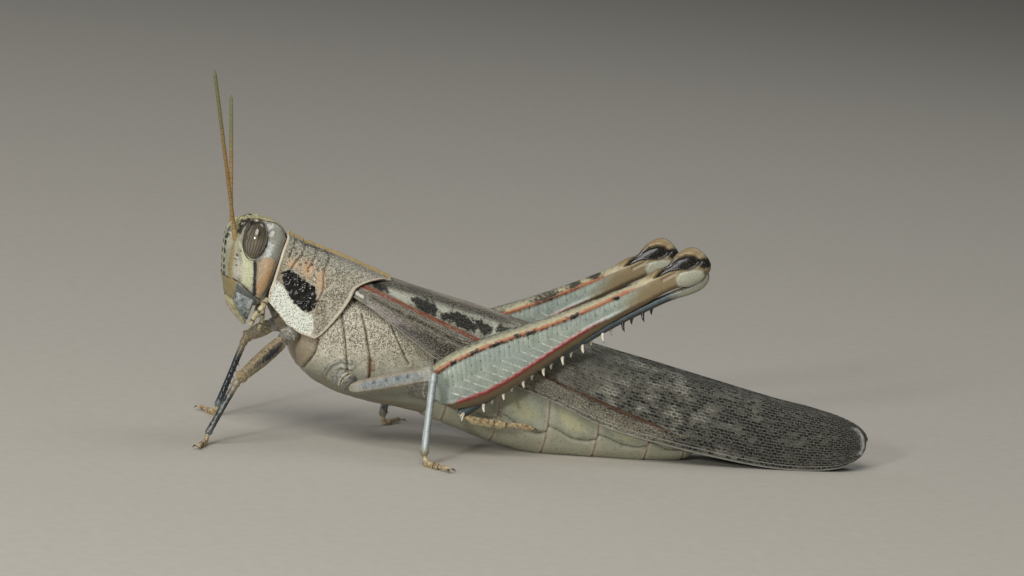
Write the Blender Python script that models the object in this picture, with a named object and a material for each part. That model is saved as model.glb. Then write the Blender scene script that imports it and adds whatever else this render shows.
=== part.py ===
"""Gray bird grasshopper (Schistocerca nitens), an adult female at life size, standing with its wings closed.

Lengths are in millimetres and become metres where a mesh is made. +X is the animal's left, +Y points to its
tail and +Z is up. The ground is z = 0 and the foremost point of the face is near y = 0 while the parts are
shaped; at the end the whole animal is shifted so that the bottom centre of its box is the origin.
"""

import math

import bmesh
import bpy
from mathutils import Matrix, Vector

MM = 0.001
GAP = 0.3  # clearance between one plate of the body and the next
GROUND = 0.0
FEMUR_ROUND = 12  # points round a hind femur
TRUNK_ROUND = 18  # points round the head, pronotum and thorax
ABDOMEN_ROUND = 16

FEELER_LENGTH = 16.5
FEELER_RADIUS = 0.26
TEGMEN_THICKNESS = 0.55
HIND_WING_THICKNESS = 0.5
HIND_TIBIA_HALF_WIDTH = 0.38
SPINES_IN_ROW = 8

LEFT, RIGHT = 1, -1
SIDE_NAMES = {LEFT: "left", RIGHT: "right"}
UP, TAILWARD, FORWARD = Vector((0, 0, 1)), Vector((0, 1, 0)), Vector((0, -1, 0))

# Hips, knees and feet of the left and right legs (x, y, z). The stance isn't the same on the two sides.
FRONT_LEGS = {
    LEFT: {
        "coxa": (2.3, 7.0, 10.6), "hip": (4.2, 5.5, 9.5), "knee": (7.6, 1.2, 6.3),
        "ankle": (7.5, -1.2, 0.95), "toe": (10.3, -2.4, 0.3),
    },
    RIGHT: {
        "coxa": (-2.3, 7.0, 10.6), "hip": (-4.1, 5.7, 9.6), "knee": (-8.0, 4.4, 7.85),
        "ankle": (-7.5, 2.15, 0.95), "toe": (-10.1, 1.0, 0.3),
    },
}
MIDDLE_LEGS = {
    LEFT: {
        "coxa": (2.6, 11.2, 6.9), "hip": (4.9, 12.7, 5.8), "knee": (9.1, 19.2, 8.35),
        "ankle": (11.6, 18.5, 0.95), "toe": (14.3, 20.4, 0.3),
    },
    RIGHT: {
        "coxa": (-2.6, 11.2, 6.9), "hip": (-4.9, 12.7, 5.8), "knee": (-8.8, 19.4, 8.3),
        "ankle": (-7.9, 18.5, 0.95), "toe": (-10.2, 20.8, 0.3),
    },
}
HIND_LEGS = {
    LEFT: {
        "coxa": (2.4, 18.2, 6.1), "hip": (6.1, 21.1, 6.0), "knee": (6.5, 44.5, 19.95), "toe": (4.9, 30.2, 2.95),
    },
    RIGHT: {
        "coxa": (-2.4, 18.2, 6.1), "hip": (-6.1, 21.1, 6.0), "knee": (-6.5, 45.3, 19.0), "toe": (-4.9, 30.2, 2.6),
    },
}
WALKING_COXA_SHORT = 0.9  # a front or middle coxa ends this far before the hip
HIND_COXA_SHORT = 1.85
TARSUS_DROP = 0.63  # a walking leg's tarsus starts this far below its ankle

# Head: rows from the mouth up to the crown. Each is the front and the back point (y, z) and the half width.
HEAD_ROWS = [
    ((1.20, 13.75), (3.45, 12.85), 2.35),
    ((0.65, 14.10), (3.75, 13.10), 2.9),
    ((0.20, 14.90), (4.00, 14.00), 3.25),
    ((0.05, 16.00), (4.35, 15.40), 3.45),
    ((0.00, 17.30), (4.75, 16.90), 3.45),
    ((0.05, 18.60), (5.15, 18.35), 3.05),
    ((0.30, 19.50), (5.30, 19.20), 2.6),
    ((0.85, 20.12), (5.05, 19.95), 2.1),
    ((1.70, 20.45), (4.30, 20.40), 1.5),
    ((2.60, 20.58), (3.40, 20.57), 0.4),
]
EYE = {"centre": (2.6, 2.42, 18.68), "size": (1.38, 1.10, 1.78), "lean": 9}
# Mouthparts: middle lines from the head down, on the left side where there are two.
LABRUM = ((0, 0.86, 13.45), (0, 1.0, 12.75), (0, 1.5, 11.9), (0, 2.5, 11.0))
LABIUM = ((0, 4.05, 12.2), (0, 3.95, 11.7), (0, 3.7, 11.15))
MANDIBLE = ((2.3, 2.35, 12.95), (2.4, 2.3, 12.3), (2.15, 2.45, 11.65), (1.5, 2.85, 11.15))
LONG_PALP = ((2.35, 3.85, 12.4), (3.1, 3.55, 11.95), (3.05, 3.05, 11.4), (2.6, 2.7, 10.85))
SMALL_PALP = ((0.8, 3.85, 11.7), (1.5, 3.8, 11.1), (1.35, 3.75, 10.35))

# Trunk: rows along the body. Each is the top and the low point (y, z) and the half width.
PRONOTUM_ROWS = [
    ((5.85, 19.25), (4.15, 13.30), 3.25),
    ((7.30, 18.65), (5.00, 12.10), 3.5),
    ((8.90, 18.15), (6.20, 10.75), 3.7),
    ((10.60, 17.60), (7.50, 10.25), 3.95),
    ((12.30, 17.05), (8.70, 10.25), 4.2),
    ((13.80, 16.50), (9.80, 11.60), 4.35),
    ((15.00, 16.05), (11.30, 13.90), 4.1),
    ((15.90, 15.70), (13.60, 15.15), 2.9),
    ((16.20, 15.55), (15.40, 15.40), 1.3),
]
THORAX_ROWS = [
    ((6.90, 11.5), (6.90, 8.70), 2.0),
    ((7.60, 12.8), (7.60, 7.30), 3.2),
    ((9.20, 14.0), (9.20, 5.85), 4.05),
    ((10.5, 14.4), (10.5, 5.10), 4.3),
    ((12.2, 14.6), (12.2, 4.45), 4.5),
    ((15.0, 14.4), (15.0, 3.80), 4.5),
    ((18.0, 13.9), (18.0, 3.40), 4.1),
    ((20.4, 13.2), (20.4, 3.00), 3.6),
]
ABDOMEN_ROWS = [
    ((20.8, 12.4), (20.8, 2.90), 3.3),
    ((24.0, 11.5), (24.0, 1.80), 3.35),
    ((28.0, 10.5), (28.0, 0.60), 3.35),
    ((32.0, 9.40), (32.0, -0.2), 3.3),
    ((36.0, 8.20), (36.0, -0.3), 3.1),
    ((40.0, 7.00), (40.0, -0.3), 2.9),
    ((44.0, 5.80), (44.0, -0.2), 2.5),
    ((46.6, 4.60), (46.6, 0.20), 1.85),
    ((47.7, 3.50), (47.7, 0.90), 1.1),
]
ABDOMEN_SEGMENTS = 9
SEGMENT_STEP = 0.16  # how far each tergite's rear edge stands over the next one

# Tegmen: rows from the hinge to the tip. Each is the point on the back and on the lower edge (y, z), and how far
# out the flank stands.
TEGMEN_ROWS = [
    ((14.6, 15.85), (12.6, 14.40), 4.55),
    ((16.5, 15.50), (14.4, 13.20), 4.75),
    ((19.0, 14.90), (17.5, 11.20), 4.7),
    ((22.5, 14.15), (21.5, 8.60), 4.5),
    ((27.0, 13.05), (26.5, 7.20), 4.4),
    ((32.0, 11.80), (31.5, 5.80), 4.25),
    ((38.0, 10.40), (37.5, 3.40), 4.05),
    ((44.0, 9.08), (43.5, 2.00), 3.7),
    ((50.0, 7.72), (49.5, 0.90), 3.15),
    ((55.0, 6.62), (54.5, 0.20), 2.6),
    ((59.0, 5.90), (58.6, 0.00), 2.1),
    ((62.0, 5.25), (61.8, 0.30), 1.65),
    ((64.0, 4.30), (63.9, 1.00), 1.2),
    ((65.0, 3.20), (65.0, 2.10), 0.8),
]
FAR_TIP_REACH = 0.7  # the right tegmen ends this much further back
HIND_WING_ROWS = slice(3, -2)  # the tegmen's rows that a folded hind wing lies under

# Hind femur, along its own length from the hip: distance, height above and below the axis, half thickness.
HIND_FEMUR_ROWS = [
    (-1.2, 1.5, -0.7, 0.45),
    (-0.8, 2.3, 0.5, 0.85),
    (0.3, 2.9, 1.75, 1.2),
    (2.2, 3.18, 2.5, 1.35),
    (4.6, 3.13, 2.65, 1.35),
    (7.3, 2.85, 2.35, 1.32),
    (10.2, 2.4, 1.95, 1.22),
    (13.4, 1.95, 1.52, 1.08),
    (17.2, 1.57, 1.14, 0.95),
    (21.0, 1.36, 1.1, 0.88),
    (23.6, 1.55, 1.1, 0.95),
    (25.8, 2.0, 1.45, 1.12),
    (27.2, 1.95, 1.6, 1.05),
    (27.8, 1.2, 1.1, 0.75),
    (28.1, 0.5, 0.5, 0.4),
]
# Hind tibia under the femur, in the femur's frame: distance and height of its middle line, half height.
HIND_TIBIA_ROWS = [
    (26.3, -1.75, 0.32),
    (25.2, -1.52, 0.5),
    (22.0, -1.33, 0.42),
    (17.5, -1.30, 0.4),
    (12.5, -1.58, 0.4),
    (7.0, -1.95, 0.42),
    (2.6, -2.35, 0.45),
    (0.6, -2.42, 0.5),
]
# A walking leg along its length, as a share of it: femur and tibia girth as shares of their own girth.
WALKING_FEMUR_ROWS = ((0, 0.6), (0.05, 0.85), (0.3, 1.0), (0.6, 0.92), (0.85, 0.72), (0.95, 0.78), (1.0, 0.5))
WALKING_TIBIA_ROWS = ((0.0, 0.75), (0.06, 1.2), (0.14, 1.0), (0.55, 0.9), (0.9, 1.0), (1.0, 0.8))
# Tarsus from ankle to toe: share of the length and radius. Each swelling is a joint with its pad.
TARSUS_ROWS = (
    (0.1, 0.27), (0.2, 0.38), (0.33, 0.3), (0.42, 0.4), (0.52, 0.27), (0.6, 0.35), (0.68, 0.24), (1.0, 0.26),
)

COLOURS = {
    "head": (0.40, 0.36, 0.27),
    "eye": (0.13, 0.10, 0.08),
    "feeler": (0.38, 0.24, 0.10),
    "mouth": (0.55, 0.47, 0.27),
    "pronotum": (0.33, 0.26, 0.19),
    "thorax": (0.36, 0.32, 0.25),
    "abdomen": (0.47, 0.43, 0.33),
    "tegmen": (0.15, 0.13, 0.12),
    "wing": (0.25, 0.23, 0.20),
    "leg": (0.34, 0.37, 0.36),
    "femur": (0.42, 0.45, 0.42),
    "tibia": (0.20, 0.25, 0.29),
    "tarsus": (0.36, 0.29, 0.17),
}


def bulge(value, power):
    """A sine or cosine bent towards a box: power 2 keeps an ellipse, more makes it squarer."""
    return math.copysign(abs(value) ** (2 / power), value)


def smooth(rows, steps):
    """Rows of numbers joined by a Catmull-Rom curve, with `steps` rows for each gap."""
    flat = [[n for value in row for n in (value if isinstance(value, tuple) else (value,))] for row in rows]
    out = []
    for i in range(len(flat) - 1):
        before, a, b, after = flat[max(i - 1, 0)], flat[i], flat[i + 1], flat[min(i + 2, len(flat) - 1)]
        for step in range(steps):
            t = step / steps
            out.append([
                q + (r - p) * t / 2 + (p - 2.5 * q + 2 * r - s / 2) * t ** 2 + (1.5 * (q - r) + (s - p) / 2) * t ** 3
                for p, q, r, s in zip(before, a, b, after)
            ])
    return out + [flat[-1]]


def hoop(high, low, wide, waist=0.5, power=2.0, sides=TRUNK_ROUND):
    """A closed cross-section through two points of the middle plane, widest at the waist between them."""
    high, low = Vector((0, *high)), Vector((0, *low))
    centre = low.lerp(high, waist)
    points = []
    for step in range(sides):
        angle = 2 * math.pi * step / sides
        reach = (high if math.sin(angle) > 0 else low) - centre
        across = Vector((wide * bulge(math.cos(angle), power), 0, 0))
        points.append(centre + across + reach * abs(bulge(math.sin(angle), power)))
    return points


def hoops(rows, steps, waist=0.5, power=2.0, sides=TRUNK_ROUND):
    return [
        hoop((y1, z1), (y2, z2), wide, waist, power, sides) for y1, z1, y2, z2, wide in smooth(rows, steps)
    ]


def limb(path, sections, lift=UP, sides=FEMUR_ROUND, power=2.0):
    """Cross-sections along a path of points. Each section is the half width and the height above and below."""
    rings = []
    for i, (point, (wide, above, below)) in enumerate(zip(path, sections)):
        along = (path[min(i + 1, len(path) - 1)] - path[max(i - 1, 0)]).normalized()
        across = along.cross(lift).normalized()
        up = across.cross(along)
        ring = []
        for step in range(sides):
            angle = 2 * math.pi * step / sides
            height = bulge(math.sin(angle), power)
            height *= above if height > 0 else below
            ring.append(point + across * wide * bulge(math.cos(angle), power) + up * height)
        rings.append(ring)
    return rings


def middle_of(ring):
    return sum(ring, Vector()) / len(ring)


def grown(rings, amount):
    """The same shape with every face moved out by about `amount`, for cutting room out of a neighbour."""
    centres = [middle_of(ring) for ring in rings]
    last, count = len(rings) - 1, len(rings[0])
    normals = []
    for i, ring in enumerate(rings):
        before, after = rings[max(i - 1, 0)], rings[min(i + 1, last)]
        around = [ring[(j + 1) % count] - ring[j - 1] for j in range(count)]
        normals.append([around[j].cross(after[j] - before[j]).normalized() for j in range(count)])
    outwards = sum(
        normals[i][j].dot(rings[i][j] - centres[i]) for i in range(last + 1) for j in range(count)
    )
    amount = math.copysign(amount, outwards)
    out = [[p + n * amount for p, n in zip(ring, along)] for ring, along in zip(rings, normals)]
    for end, inside in ((0, 1), (-1, -2)):
        shift = (centres[end] - centres[inside]).normalized() * abs(amount)
        out[end] = [p + shift for p in out[end]]
    return out


def settled(rings):
    """Whatever would sink into the ground is laid flat on it."""
    return [[Vector((p.x, p.y, max(p.z, GROUND))) for p in ring] for ring in rings]


def finish(name):
    """The part's own material, made once for each colour name."""
    if name in bpy.data.materials:
        return bpy.data.materials[name]
    material = bpy.data.materials.new(name)
    material.use_nodes = True
    shader = material.node_tree.nodes["Principled BSDF"]
    shader.inputs["Base Color"].default_value = (*COLOURS[name], 1)
    shader.inputs["Roughness"].default_value = 0.2 if name == "eye" else 0.5
    shader.inputs["Metallic"].default_value = 0
    return material


def add_object(name, mesh, colour, helper=False):
    obj = bpy.data.objects.new(name, mesh)
    bpy.context.scene.collection.objects.link(obj)
    if helper:
        obj.hide_render = True
        obj.display_type = "WIRE"
    else:
        mesh.materials.append(finish(colour))
    return obj


def solid(name, rings, colour=None, helper=False):
    """A closed mesh skinned over the rings, with its origin at the middle of the first one."""
    origin = middle_of(rings[0])
    bm = bmesh.new()
    loops = [[bm.verts.new((p - origin) * MM) for p in ring] for ring in rings]
    count = len(rings[0])
    for lower, upper in zip(loops, loops[1:]):
        for i in range(count):
            j = (i + 1) % count
            bm.faces.new((lower[i], lower[j], upper[j], upper[i]))
    bm.faces.new(loops[0][::-1])
    bm.faces.new(loops[-1])
    if bm.calc_volume(signed=True) < 0:
        bmesh.ops.reverse_faces(bm, faces=bm.faces)
    mesh = bpy.data.meshes.new(name)
    bm.to_mesh(mesh)
    bm.free()
    mesh.shade_smooth()
    mesh.set_sharp_from_angle(angle=math.radians(45))
    obj = add_object(name, mesh, colour, helper)
    obj.location = origin * MM
    return obj


def combine(obj, other, operation):
    """A Boolean with a hidden helper: DIFFERENCE cuts its room out, UNION grows it on."""
    modifier = obj.modifiers.new(f"{operation.lower()}_{other.name}", "BOOLEAN")
    modifier.operation = operation
    modifier.solver = "EXACT"
    modifier.object = other


def cut(obj, rings, label):
    room = solid(f"{obj.name}_room_{label}", grown(rings, GAP), helper=True)
    combine(obj, room, "DIFFERENCE")


def join(obj, rings, label):
    combine(obj, solid(f"{obj.name}_{label}", rings, helper=True), "UNION")


def ellipsoid(centre, size, lean, sides=14, levels=9):
    """Rings of an egg-shaped eye, from its lower pole to its upper one, leaning back by `lean` degrees."""
    tilt = Matrix.Rotation(math.radians(-lean), 3, "X")
    rings = []
    for level in range(1, levels):
        angle = math.pi * level / levels
        ring = []
        for step in range(sides):
            turn = 2 * math.pi * step / sides
            point = Vector((math.cos(turn), math.sin(turn), 0)) * math.sin(angle) - UP * math.cos(angle)
            ring.append(Vector(centre) + tilt @ Vector([p * s for p, s in zip(point, size)]))
        rings.append(ring)
    return rings


def curve_through(points, steps):
    return [Vector(row) for row in smooth([tuple(p) for p in points], steps)]


def tube(points, radii, steps=3, sides=8, lift=UP):
    """A round rod through the points, its radius read from the radii at each."""
    path = curve_through(points, steps)
    widths = [row[0] for row in smooth([(r,) for r in radii], steps)]
    return limb(path, [(r, r, r) for r in widths], lift, sides)


def mirrored(point, side):
    return Vector((point[0] * side, point[1], point[2]))


def eye_rings(side):
    return ellipsoid(mirrored(EYE["centre"], side), EYE["size"], EYE["lean"])


def feeler_points(side):
    """The left feeler rises almost straight, the right one leans well out to its own side."""
    reach = {LEFT: (2.3, -3.9), RIGHT: (11.3, 0.7)}[side]
    base = Vector((1.25, 0.8, 18.4))
    rise = math.sqrt(FEELER_LENGTH ** 2 - reach[0] ** 2 - reach[1] ** 2)
    return [mirrored(base + Vector((*reach, rise)) * t, side) for t in (0, 0.04, 0.3, 0.65, 1)]


def feeler_rings(side):
    return tube(feeler_points(side), (0.45, 0.42, 0.3, FEELER_RADIUS, FEELER_RADIUS), 3, 7, TAILWARD)


def make_head():
    head = solid("head", hoops(HEAD_ROWS, 1, waist=0.48, power=2.2), "head")
    for side in (LEFT, RIGHT):
        cut(head, eye_rings(side), f"eye_{SIDE_NAMES[side]}")
        cut(head, feeler_rings(side)[:7], f"feeler_{SIDE_NAMES[side]}")
        solid(f"eye_{SIDE_NAMES[side]}", eye_rings(side), "eye")
        solid(f"antenna_{SIDE_NAMES[side]}", feeler_rings(side), "feeler")


def make_mouth():
    """The labrum in front, a mandible at each side, and the labium and the maxillary palps behind."""
    upper_lip = [Vector(p) for p in LABRUM]
    sections = [(1.3, 0.3, 0.25), (1.5, 0.34, 0.3), (1.6, 0.34, 0.3), (0.9, 0.28, 0.25)]
    solid("labrum", limb(upper_lip, sections, FORWARD, 12, 2.6), "mouth")
    lower_lip = [Vector(p) for p in LABIUM]
    sections = [(1.1, 0.3, 0.3), (1.2, 0.42, 0.42), (0.8, 0.35, 0.35)]
    labium = solid("labium", limb(lower_lip, sections, FORWARD, 10), "mouth")
    for side in (LEFT, RIGHT):
        name = SIDE_NAMES[side]
        jaw = [mirrored(p, side) for p in MANDIBLE]
        bite = [(0.42, 0.75, 0.55), (0.5, 0.9, 0.7), (0.42, 0.7, 0.55), (0.25, 0.3, 0.3)]
        solid(f"mandible_{name}", limb(jaw, bite, FORWARD, 10), "mouth")
        small_palp = [mirrored(p, side) for p in SMALL_PALP]
        join(labium, tube(small_palp, (0.3, 0.26, 0.25), 2, 6, TAILWARD), f"palp_{name}")
        long_palp = [mirrored(p, side) for p in LONG_PALP]
        solid(f"palp_{name}", tube(long_palp, (0.36, 0.32, 0.27, 0.25), 2, 8, TAILWARD), "mouth")


def pronotum_rings():
    return hoops(PRONOTUM_ROWS, 2, waist=0.4, power=2.5)


def thorax_rings():
    return hoops(THORAX_ROWS, 1, waist=0.38)


def make_trunk():
    solid("pronotum", pronotum_rings(), "pronotum")
    thorax = solid("thorax", thorax_rings(), "thorax")
    cut(thorax, pronotum_rings(), "pronotum")


def segment_step(along):
    """How far the skin stands out at a point along the abdomen: each segment swells to its rear edge."""
    return SEGMENT_STEP * (along * ABDOMEN_SEGMENTS % 1)


def make_abdomen():
    first, last = ABDOMEN_ROWS[0][0][0], ABDOMEN_ROWS[-1][0][0]
    fine = smooth(ABDOMEN_ROWS, 12)
    rings = []
    for i in range(2 * ABDOMEN_SEGMENTS):
        along = (i // 2 + (0.03, 0.97)[i % 2]) / ABDOMEN_SEGMENTS
        y = first + (last - first) * along
        y1, z1, y2, z2, wide = min(fine, key=lambda row: abs(row[0] - y))
        stand = segment_step(along)
        rings.append(hoop((y, z1 + stand), (y, z2 - stand), wide + stand, 0.45, 2.1, ABDOMEN_ROUND))
    solid("abdomen", settled(rings), "abdomen")
    valves = [Vector(p) for p in ((0, 48.0, 3.0), (0, 48.8, 3.1), (0, 50.0, 3.6), (0, 50.8, 4.1))]
    valve_sections = [(0.8, 0.4, 0.4), (0.75, 0.4, 0.4), (0.5, 0.3, 0.3), (0.3, 0.25, 0.25)]
    ovipositor = solid("ovipositor", limb(valves, valve_sections, sides=6), "abdomen")
    lower = [Vector(p) for p in ((0, 48.0, 1.9), (0, 48.8, 1.7), (0, 49.8, 1.3), (0, 50.4, 0.9))]
    lower_sections = [(0.8, 1.05, 0.4), (0.7, 0.9, 0.4), (0.5, 0.3, 0.3), (0.3, 0.25, 0.25)]
    join(ovipositor, limb(lower, lower_sections, sides=6), "lower_valves")


def wing_rings(rows, side, thickness, inset, arc, steps, points, power=2.7):
    """Cross-sections of a folded wing: over the back and down the flank, then back inside."""
    rings = []
    for y1, z1, y2, z2, wide in smooth(rows, steps):
        top, low = Vector((0, y1, z1 - inset)), Vector((0, y2, z2))
        outer_edge, inner_edge = [], []
        for i in range(points + 1):
            angle = math.radians(arc) * i / points
            over, down = bulge(math.sin(angle), power), bulge(math.cos(angle), power)
            for edge, thin in ((outer_edge, 0), (inner_edge, thickness)):
                x = GAP * 0.6 + (wide - inset - GAP * 0.6 - thin) * over
                point = low.lerp(top - Vector((0, 0, thin)), down)
                edge.append(Vector((x * side, point.y, point.z)))
        rings.append(outer_edge + inner_edge[::-1])
    return rings


def make_wings():
    for side in (LEFT, RIGHT):
        rows = TEGMEN_ROWS
        if side == RIGHT:
            root, tip = rows[0][0][0], rows[-1][0][0]
            rows = [
                tuple((p[0] + FAR_TIP_REACH * (p[0] - root) / (tip - root), p[1]) for p in row[:2]) + row[2:]
                for row in rows
            ]
        rings = wing_rings(rows, side, TEGMEN_THICKNESS, 0, 90, 1, 7)
        tegmen = solid(f"tegmen_{SIDE_NAMES[side]}", settled(rings), "tegmen")
        cut(tegmen, pronotum_rings(), "pronotum")
        under = rows[HIND_WING_ROWS]
        rings = wing_rings(under, side, HIND_WING_THICKNESS, TEGMEN_THICKNESS + GAP, 45, 1, 3)
        solid(f"hind_wing_{SIDE_NAMES[side]}", rings, "wing")


def femur_frame(leg):
    """The hind femur's axis, its upward direction and its thickness direction."""
    hip, knee = Vector(leg["hip"]), Vector(leg["knee"])
    along = (knee - hip).normalized()
    across = along.cross(Vector((0, 0, 1))).normalized()
    return hip, along, across.cross(along), across


def hind_tibia_path(leg, steps=2):
    hip, along, up, across = femur_frame(leg)
    rows = smooth(HIND_TIBIA_ROWS, steps)
    path = [hip + along * s + up * h for s, h, half in rows]
    return path, [(HIND_TIBIA_HALF_WIDTH, half, half) for s, h, half in rows]


def make_spines(tibia, leg):
    """Two rows of thorns on the tibia's hind face, which looks down while the leg is folded."""
    hip, along, up, across = femur_frame(leg)
    path, sections = hind_tibia_path(leg, 12)
    for row, outward in (("outer", 1), ("inner", -1)):
        outward *= math.copysign(1, leg["hip"][0]) * math.copysign(1, across.x)
        for i in range(SPINES_IN_ROW):
            place = int(len(path) * (0.2 + 0.74 * (i + 0.25 * outward) / SPINES_IN_ROW))
            root = path[place] - up * 0.22 + across * outward * 0.2
            tip = root - up * 0.85 + across * outward * 0.5 - along * 0.35
            rings = tube((root, tip), (0.19, 0.04), 1, 3)
            join(tibia, rings, f"{row}_spine_{i}")


def make_coxa(name, leg, radius, short, cutters):
    """The leg's first joint, from inside the trunk's outline to `short` of the hip."""
    inner, outer = Vector(leg["coxa"]), Vector(leg["hip"])
    stop = outer - (outer - inner).normalized() * short
    points = (inner, inner.lerp(stop, 0.5), stop)
    coxa = solid(name, tube(points, (radius, radius, radius * 0.72), 2, 10, Vector((0, 1, 0.2))), "thorax")
    for label, rings in cutters:
        cut(coxa, rings, label)


def make_tarsus(name, ankle, toe):
    """Three tarsal joints with their pads, ending in two claws."""
    ankle, toe = Vector(ankle), Vector(toe)
    path = [ankle.lerp(toe, t) for t, radius in TARSUS_ROWS]
    sections = [(radius, radius, radius) for t, radius in TARSUS_ROWS]
    tarsus = solid(name, settled(limb(path, sections, sides=6)), "tarsus")
    along = (toe - ankle).normalized()
    across = along.cross(UP).normalized()
    for label, turn in (("claw_a", 1), ("claw_b", -1)):
        root = toe - along * 0.12 + across * 0.1 * turn
        bend = root + along * 0.4 + across * 0.32 * turn
        tip = bend + along * 0.28 + across * 0.2 * turn - UP * 0.15
        join(tarsus, settled(tube((root, bend, tip), (0.14, 0.12, 0.04), 1, 4)), label)


def make_walking_leg(label, leg, side, femur_girth, tibia_girth, coxa_radius, cutters):
    """A front or middle leg: coxa, femur, tibia and tarsus, with a thin gap at each joint."""
    name = SIDE_NAMES[side]
    hip, knee, ankle = Vector(leg["hip"]), Vector(leg["knee"]), Vector(leg["ankle"])
    make_coxa(f"{label}_coxa_{name}", leg, coxa_radius, WALKING_COXA_SHORT, cutters)
    thigh = (knee - hip).normalized()
    start = hip - thigh * 0.5
    path = [start.lerp(knee, t) for t, scale in WALKING_FEMUR_ROWS]
    girths = [femur_girth * scale for t, scale in WALKING_FEMUR_ROWS]
    femur_rings = limb(path, [(girth * 0.85, girth, girth) for girth in girths], sides=10)
    solid(f"{label}_femur_{name}", femur_rings, "leg")
    shin = (ankle - knee).normalized()
    path = [(knee + shin * 0.1).lerp(ankle, t) for t, scale in WALKING_TIBIA_ROWS]
    girths = [tibia_girth * scale for t, scale in WALKING_TIBIA_ROWS]
    tibia = solid(f"{label}_tibia_{name}", limb(path, [(girth,) * 3 for girth in girths], TAILWARD, 8), "tibia")
    cut(tibia, femur_rings, "femur")
    make_tarsus(f"{label}_tarsus_{name}", ankle - UP * TARSUS_DROP, leg["toe"])


def make_hind_leg(leg, side):
    name = SIDE_NAMES[side]
    make_coxa(f"hind_coxa_{name}", leg, 1.05, HIND_COXA_SHORT, [("thorax", thorax_rings())])
    hip, along, up, across = femur_frame(leg)
    rows = smooth(HIND_FEMUR_ROWS, 1)
    path = [hip + along * s for s, above, below, half in rows]
    sections = [(half, above, below) for s, above, below, half in rows]
    femur = solid(f"hind_femur_{name}", limb(path, sections, power=2.3), "femur")
    tibia_path, tibia_sections = hind_tibia_path(leg)
    tibia_rings = limb(tibia_path, tibia_sections, sides=7)
    cut(femur, tibia_rings, "tibia")
    tibia = solid(f"hind_tibia_{name}", tibia_rings, "tibia")
    make_spines(tibia, leg)
    ankle = tibia_path[-1] - up * 0.75 + along * 0.3
    make_tarsus(f"hind_tarsus_{name}", ankle, leg["toe"])


def stand_at_origin():
    """Hangs every object on one empty and moves it so that the box's bottom centre is the origin."""
    bpy.context.view_layer.update()
    shown = [obj for obj in bpy.data.objects if not obj.hide_render]
    corners = [obj.matrix_world @ vertex.co for obj in shown for vertex in obj.data.vertices]
    low = [min(corner[i] for corner in corners) for i in range(3)]
    high = [max(corner[i] for corner in corners) for i in range(3)]
    stand = bpy.data.objects.new("grasshopper", None)
    bpy.context.scene.collection.objects.link(stand)
    for obj in bpy.data.objects:
        if obj is not stand:
            obj.parent = stand
    stand.location = (-(low[0] + high[0]) / 2, -(low[1] + high[1]) / 2, -low[2])


def main():
    for obj in list(bpy.data.objects):
        bpy.data.objects.remove(obj)
    make_head()
    make_mouth()
    make_trunk()
    make_abdomen()
    make_wings()
    for side in (LEFT, RIGHT):
        front_neighbours = [("thorax", thorax_rings()), ("pronotum", pronotum_rings())]
        make_walking_leg("front", FRONT_LEGS[side], side, 0.7, 0.33, 0.95, front_neighbours)
        make_walking_leg("middle", MIDDLE_LEGS[side], side, 0.78, 0.38, 1.1, [("thorax", thorax_rings())])
        make_hind_leg(HIND_LEGS[side], side)
    stand_at_origin()


main()
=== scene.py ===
import math

import bmesh
import bpy
import numpy as np
from mathutils import Matrix, Vector


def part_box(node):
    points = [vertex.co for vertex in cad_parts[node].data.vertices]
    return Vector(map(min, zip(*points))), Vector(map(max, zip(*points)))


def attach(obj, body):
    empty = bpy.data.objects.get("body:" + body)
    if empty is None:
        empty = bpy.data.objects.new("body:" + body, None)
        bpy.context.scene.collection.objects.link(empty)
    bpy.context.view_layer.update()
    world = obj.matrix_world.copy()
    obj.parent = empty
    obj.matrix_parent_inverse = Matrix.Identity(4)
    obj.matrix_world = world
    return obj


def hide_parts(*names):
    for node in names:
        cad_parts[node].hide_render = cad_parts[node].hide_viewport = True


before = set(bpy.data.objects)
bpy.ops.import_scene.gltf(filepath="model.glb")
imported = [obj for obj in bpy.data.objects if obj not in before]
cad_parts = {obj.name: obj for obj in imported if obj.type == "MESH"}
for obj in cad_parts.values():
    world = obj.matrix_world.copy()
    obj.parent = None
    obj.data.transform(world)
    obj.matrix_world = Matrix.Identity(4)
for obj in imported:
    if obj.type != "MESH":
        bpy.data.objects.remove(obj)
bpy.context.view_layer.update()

# Lengths are in millimetres in the animal's own frame and turn to metres when a mesh is made:
# x is its left, y runs back from the foremost point of the face, z is up from the ground.
mm = 0.001
eyeCentre = np.array([2.6, 2.42, 18.68])
eyeLow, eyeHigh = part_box("eye_left")
origin = np.array((eyeLow + eyeHigh) / 2) - eyeCentre * mm
left, right = 1, -1
sideName = {left: "left", right: "right"}
nowhere = 9.0   # what a field holds where its mark isn't wanted


def runLength(points):
    # Distance along a line of points from its first one.
    return np.concatenate([[0], np.cumsum(np.linalg.norm(np.diff(points, axis=0), axis=1))])


def smoothRows(rows, count, measured):
    # Catmull-Rom through the rows, then spaced evenly along the columns in measured.
    rows = np.array(rows, float)
    ends = np.vstack([rows[:1], rows, rows[-1:]])
    t = np.linspace(0, 1, 25)[:-1, None]
    dense = [
        b + (c - a) * t / 2 + (a - 2.5 * b + 2 * c - d / 2) * t ** 2 + (1.5 * (b - c) + (d - a) / 2) * t ** 3
        for a, b, c, d in zip(ends, ends[1:], ends[2:], ends[3:])
    ]
    dense = np.vstack(dense + [rows[-1:]])
    along = runLength(dense[:, measured])
    even = np.linspace(0, along[-1], count)
    return even, np.stack([np.interp(even, along, column) for column in dense.T], 1)


def sampled(points, count):
    # A smooth path through the points and its running share from 0 to 1.
    along, path = smoothRows(points, count, [0, 1, 2])
    return path, along / along[-1]


def unit(vector):
    vector = np.array(vector, float)
    return vector / np.linalg.norm(vector)


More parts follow.
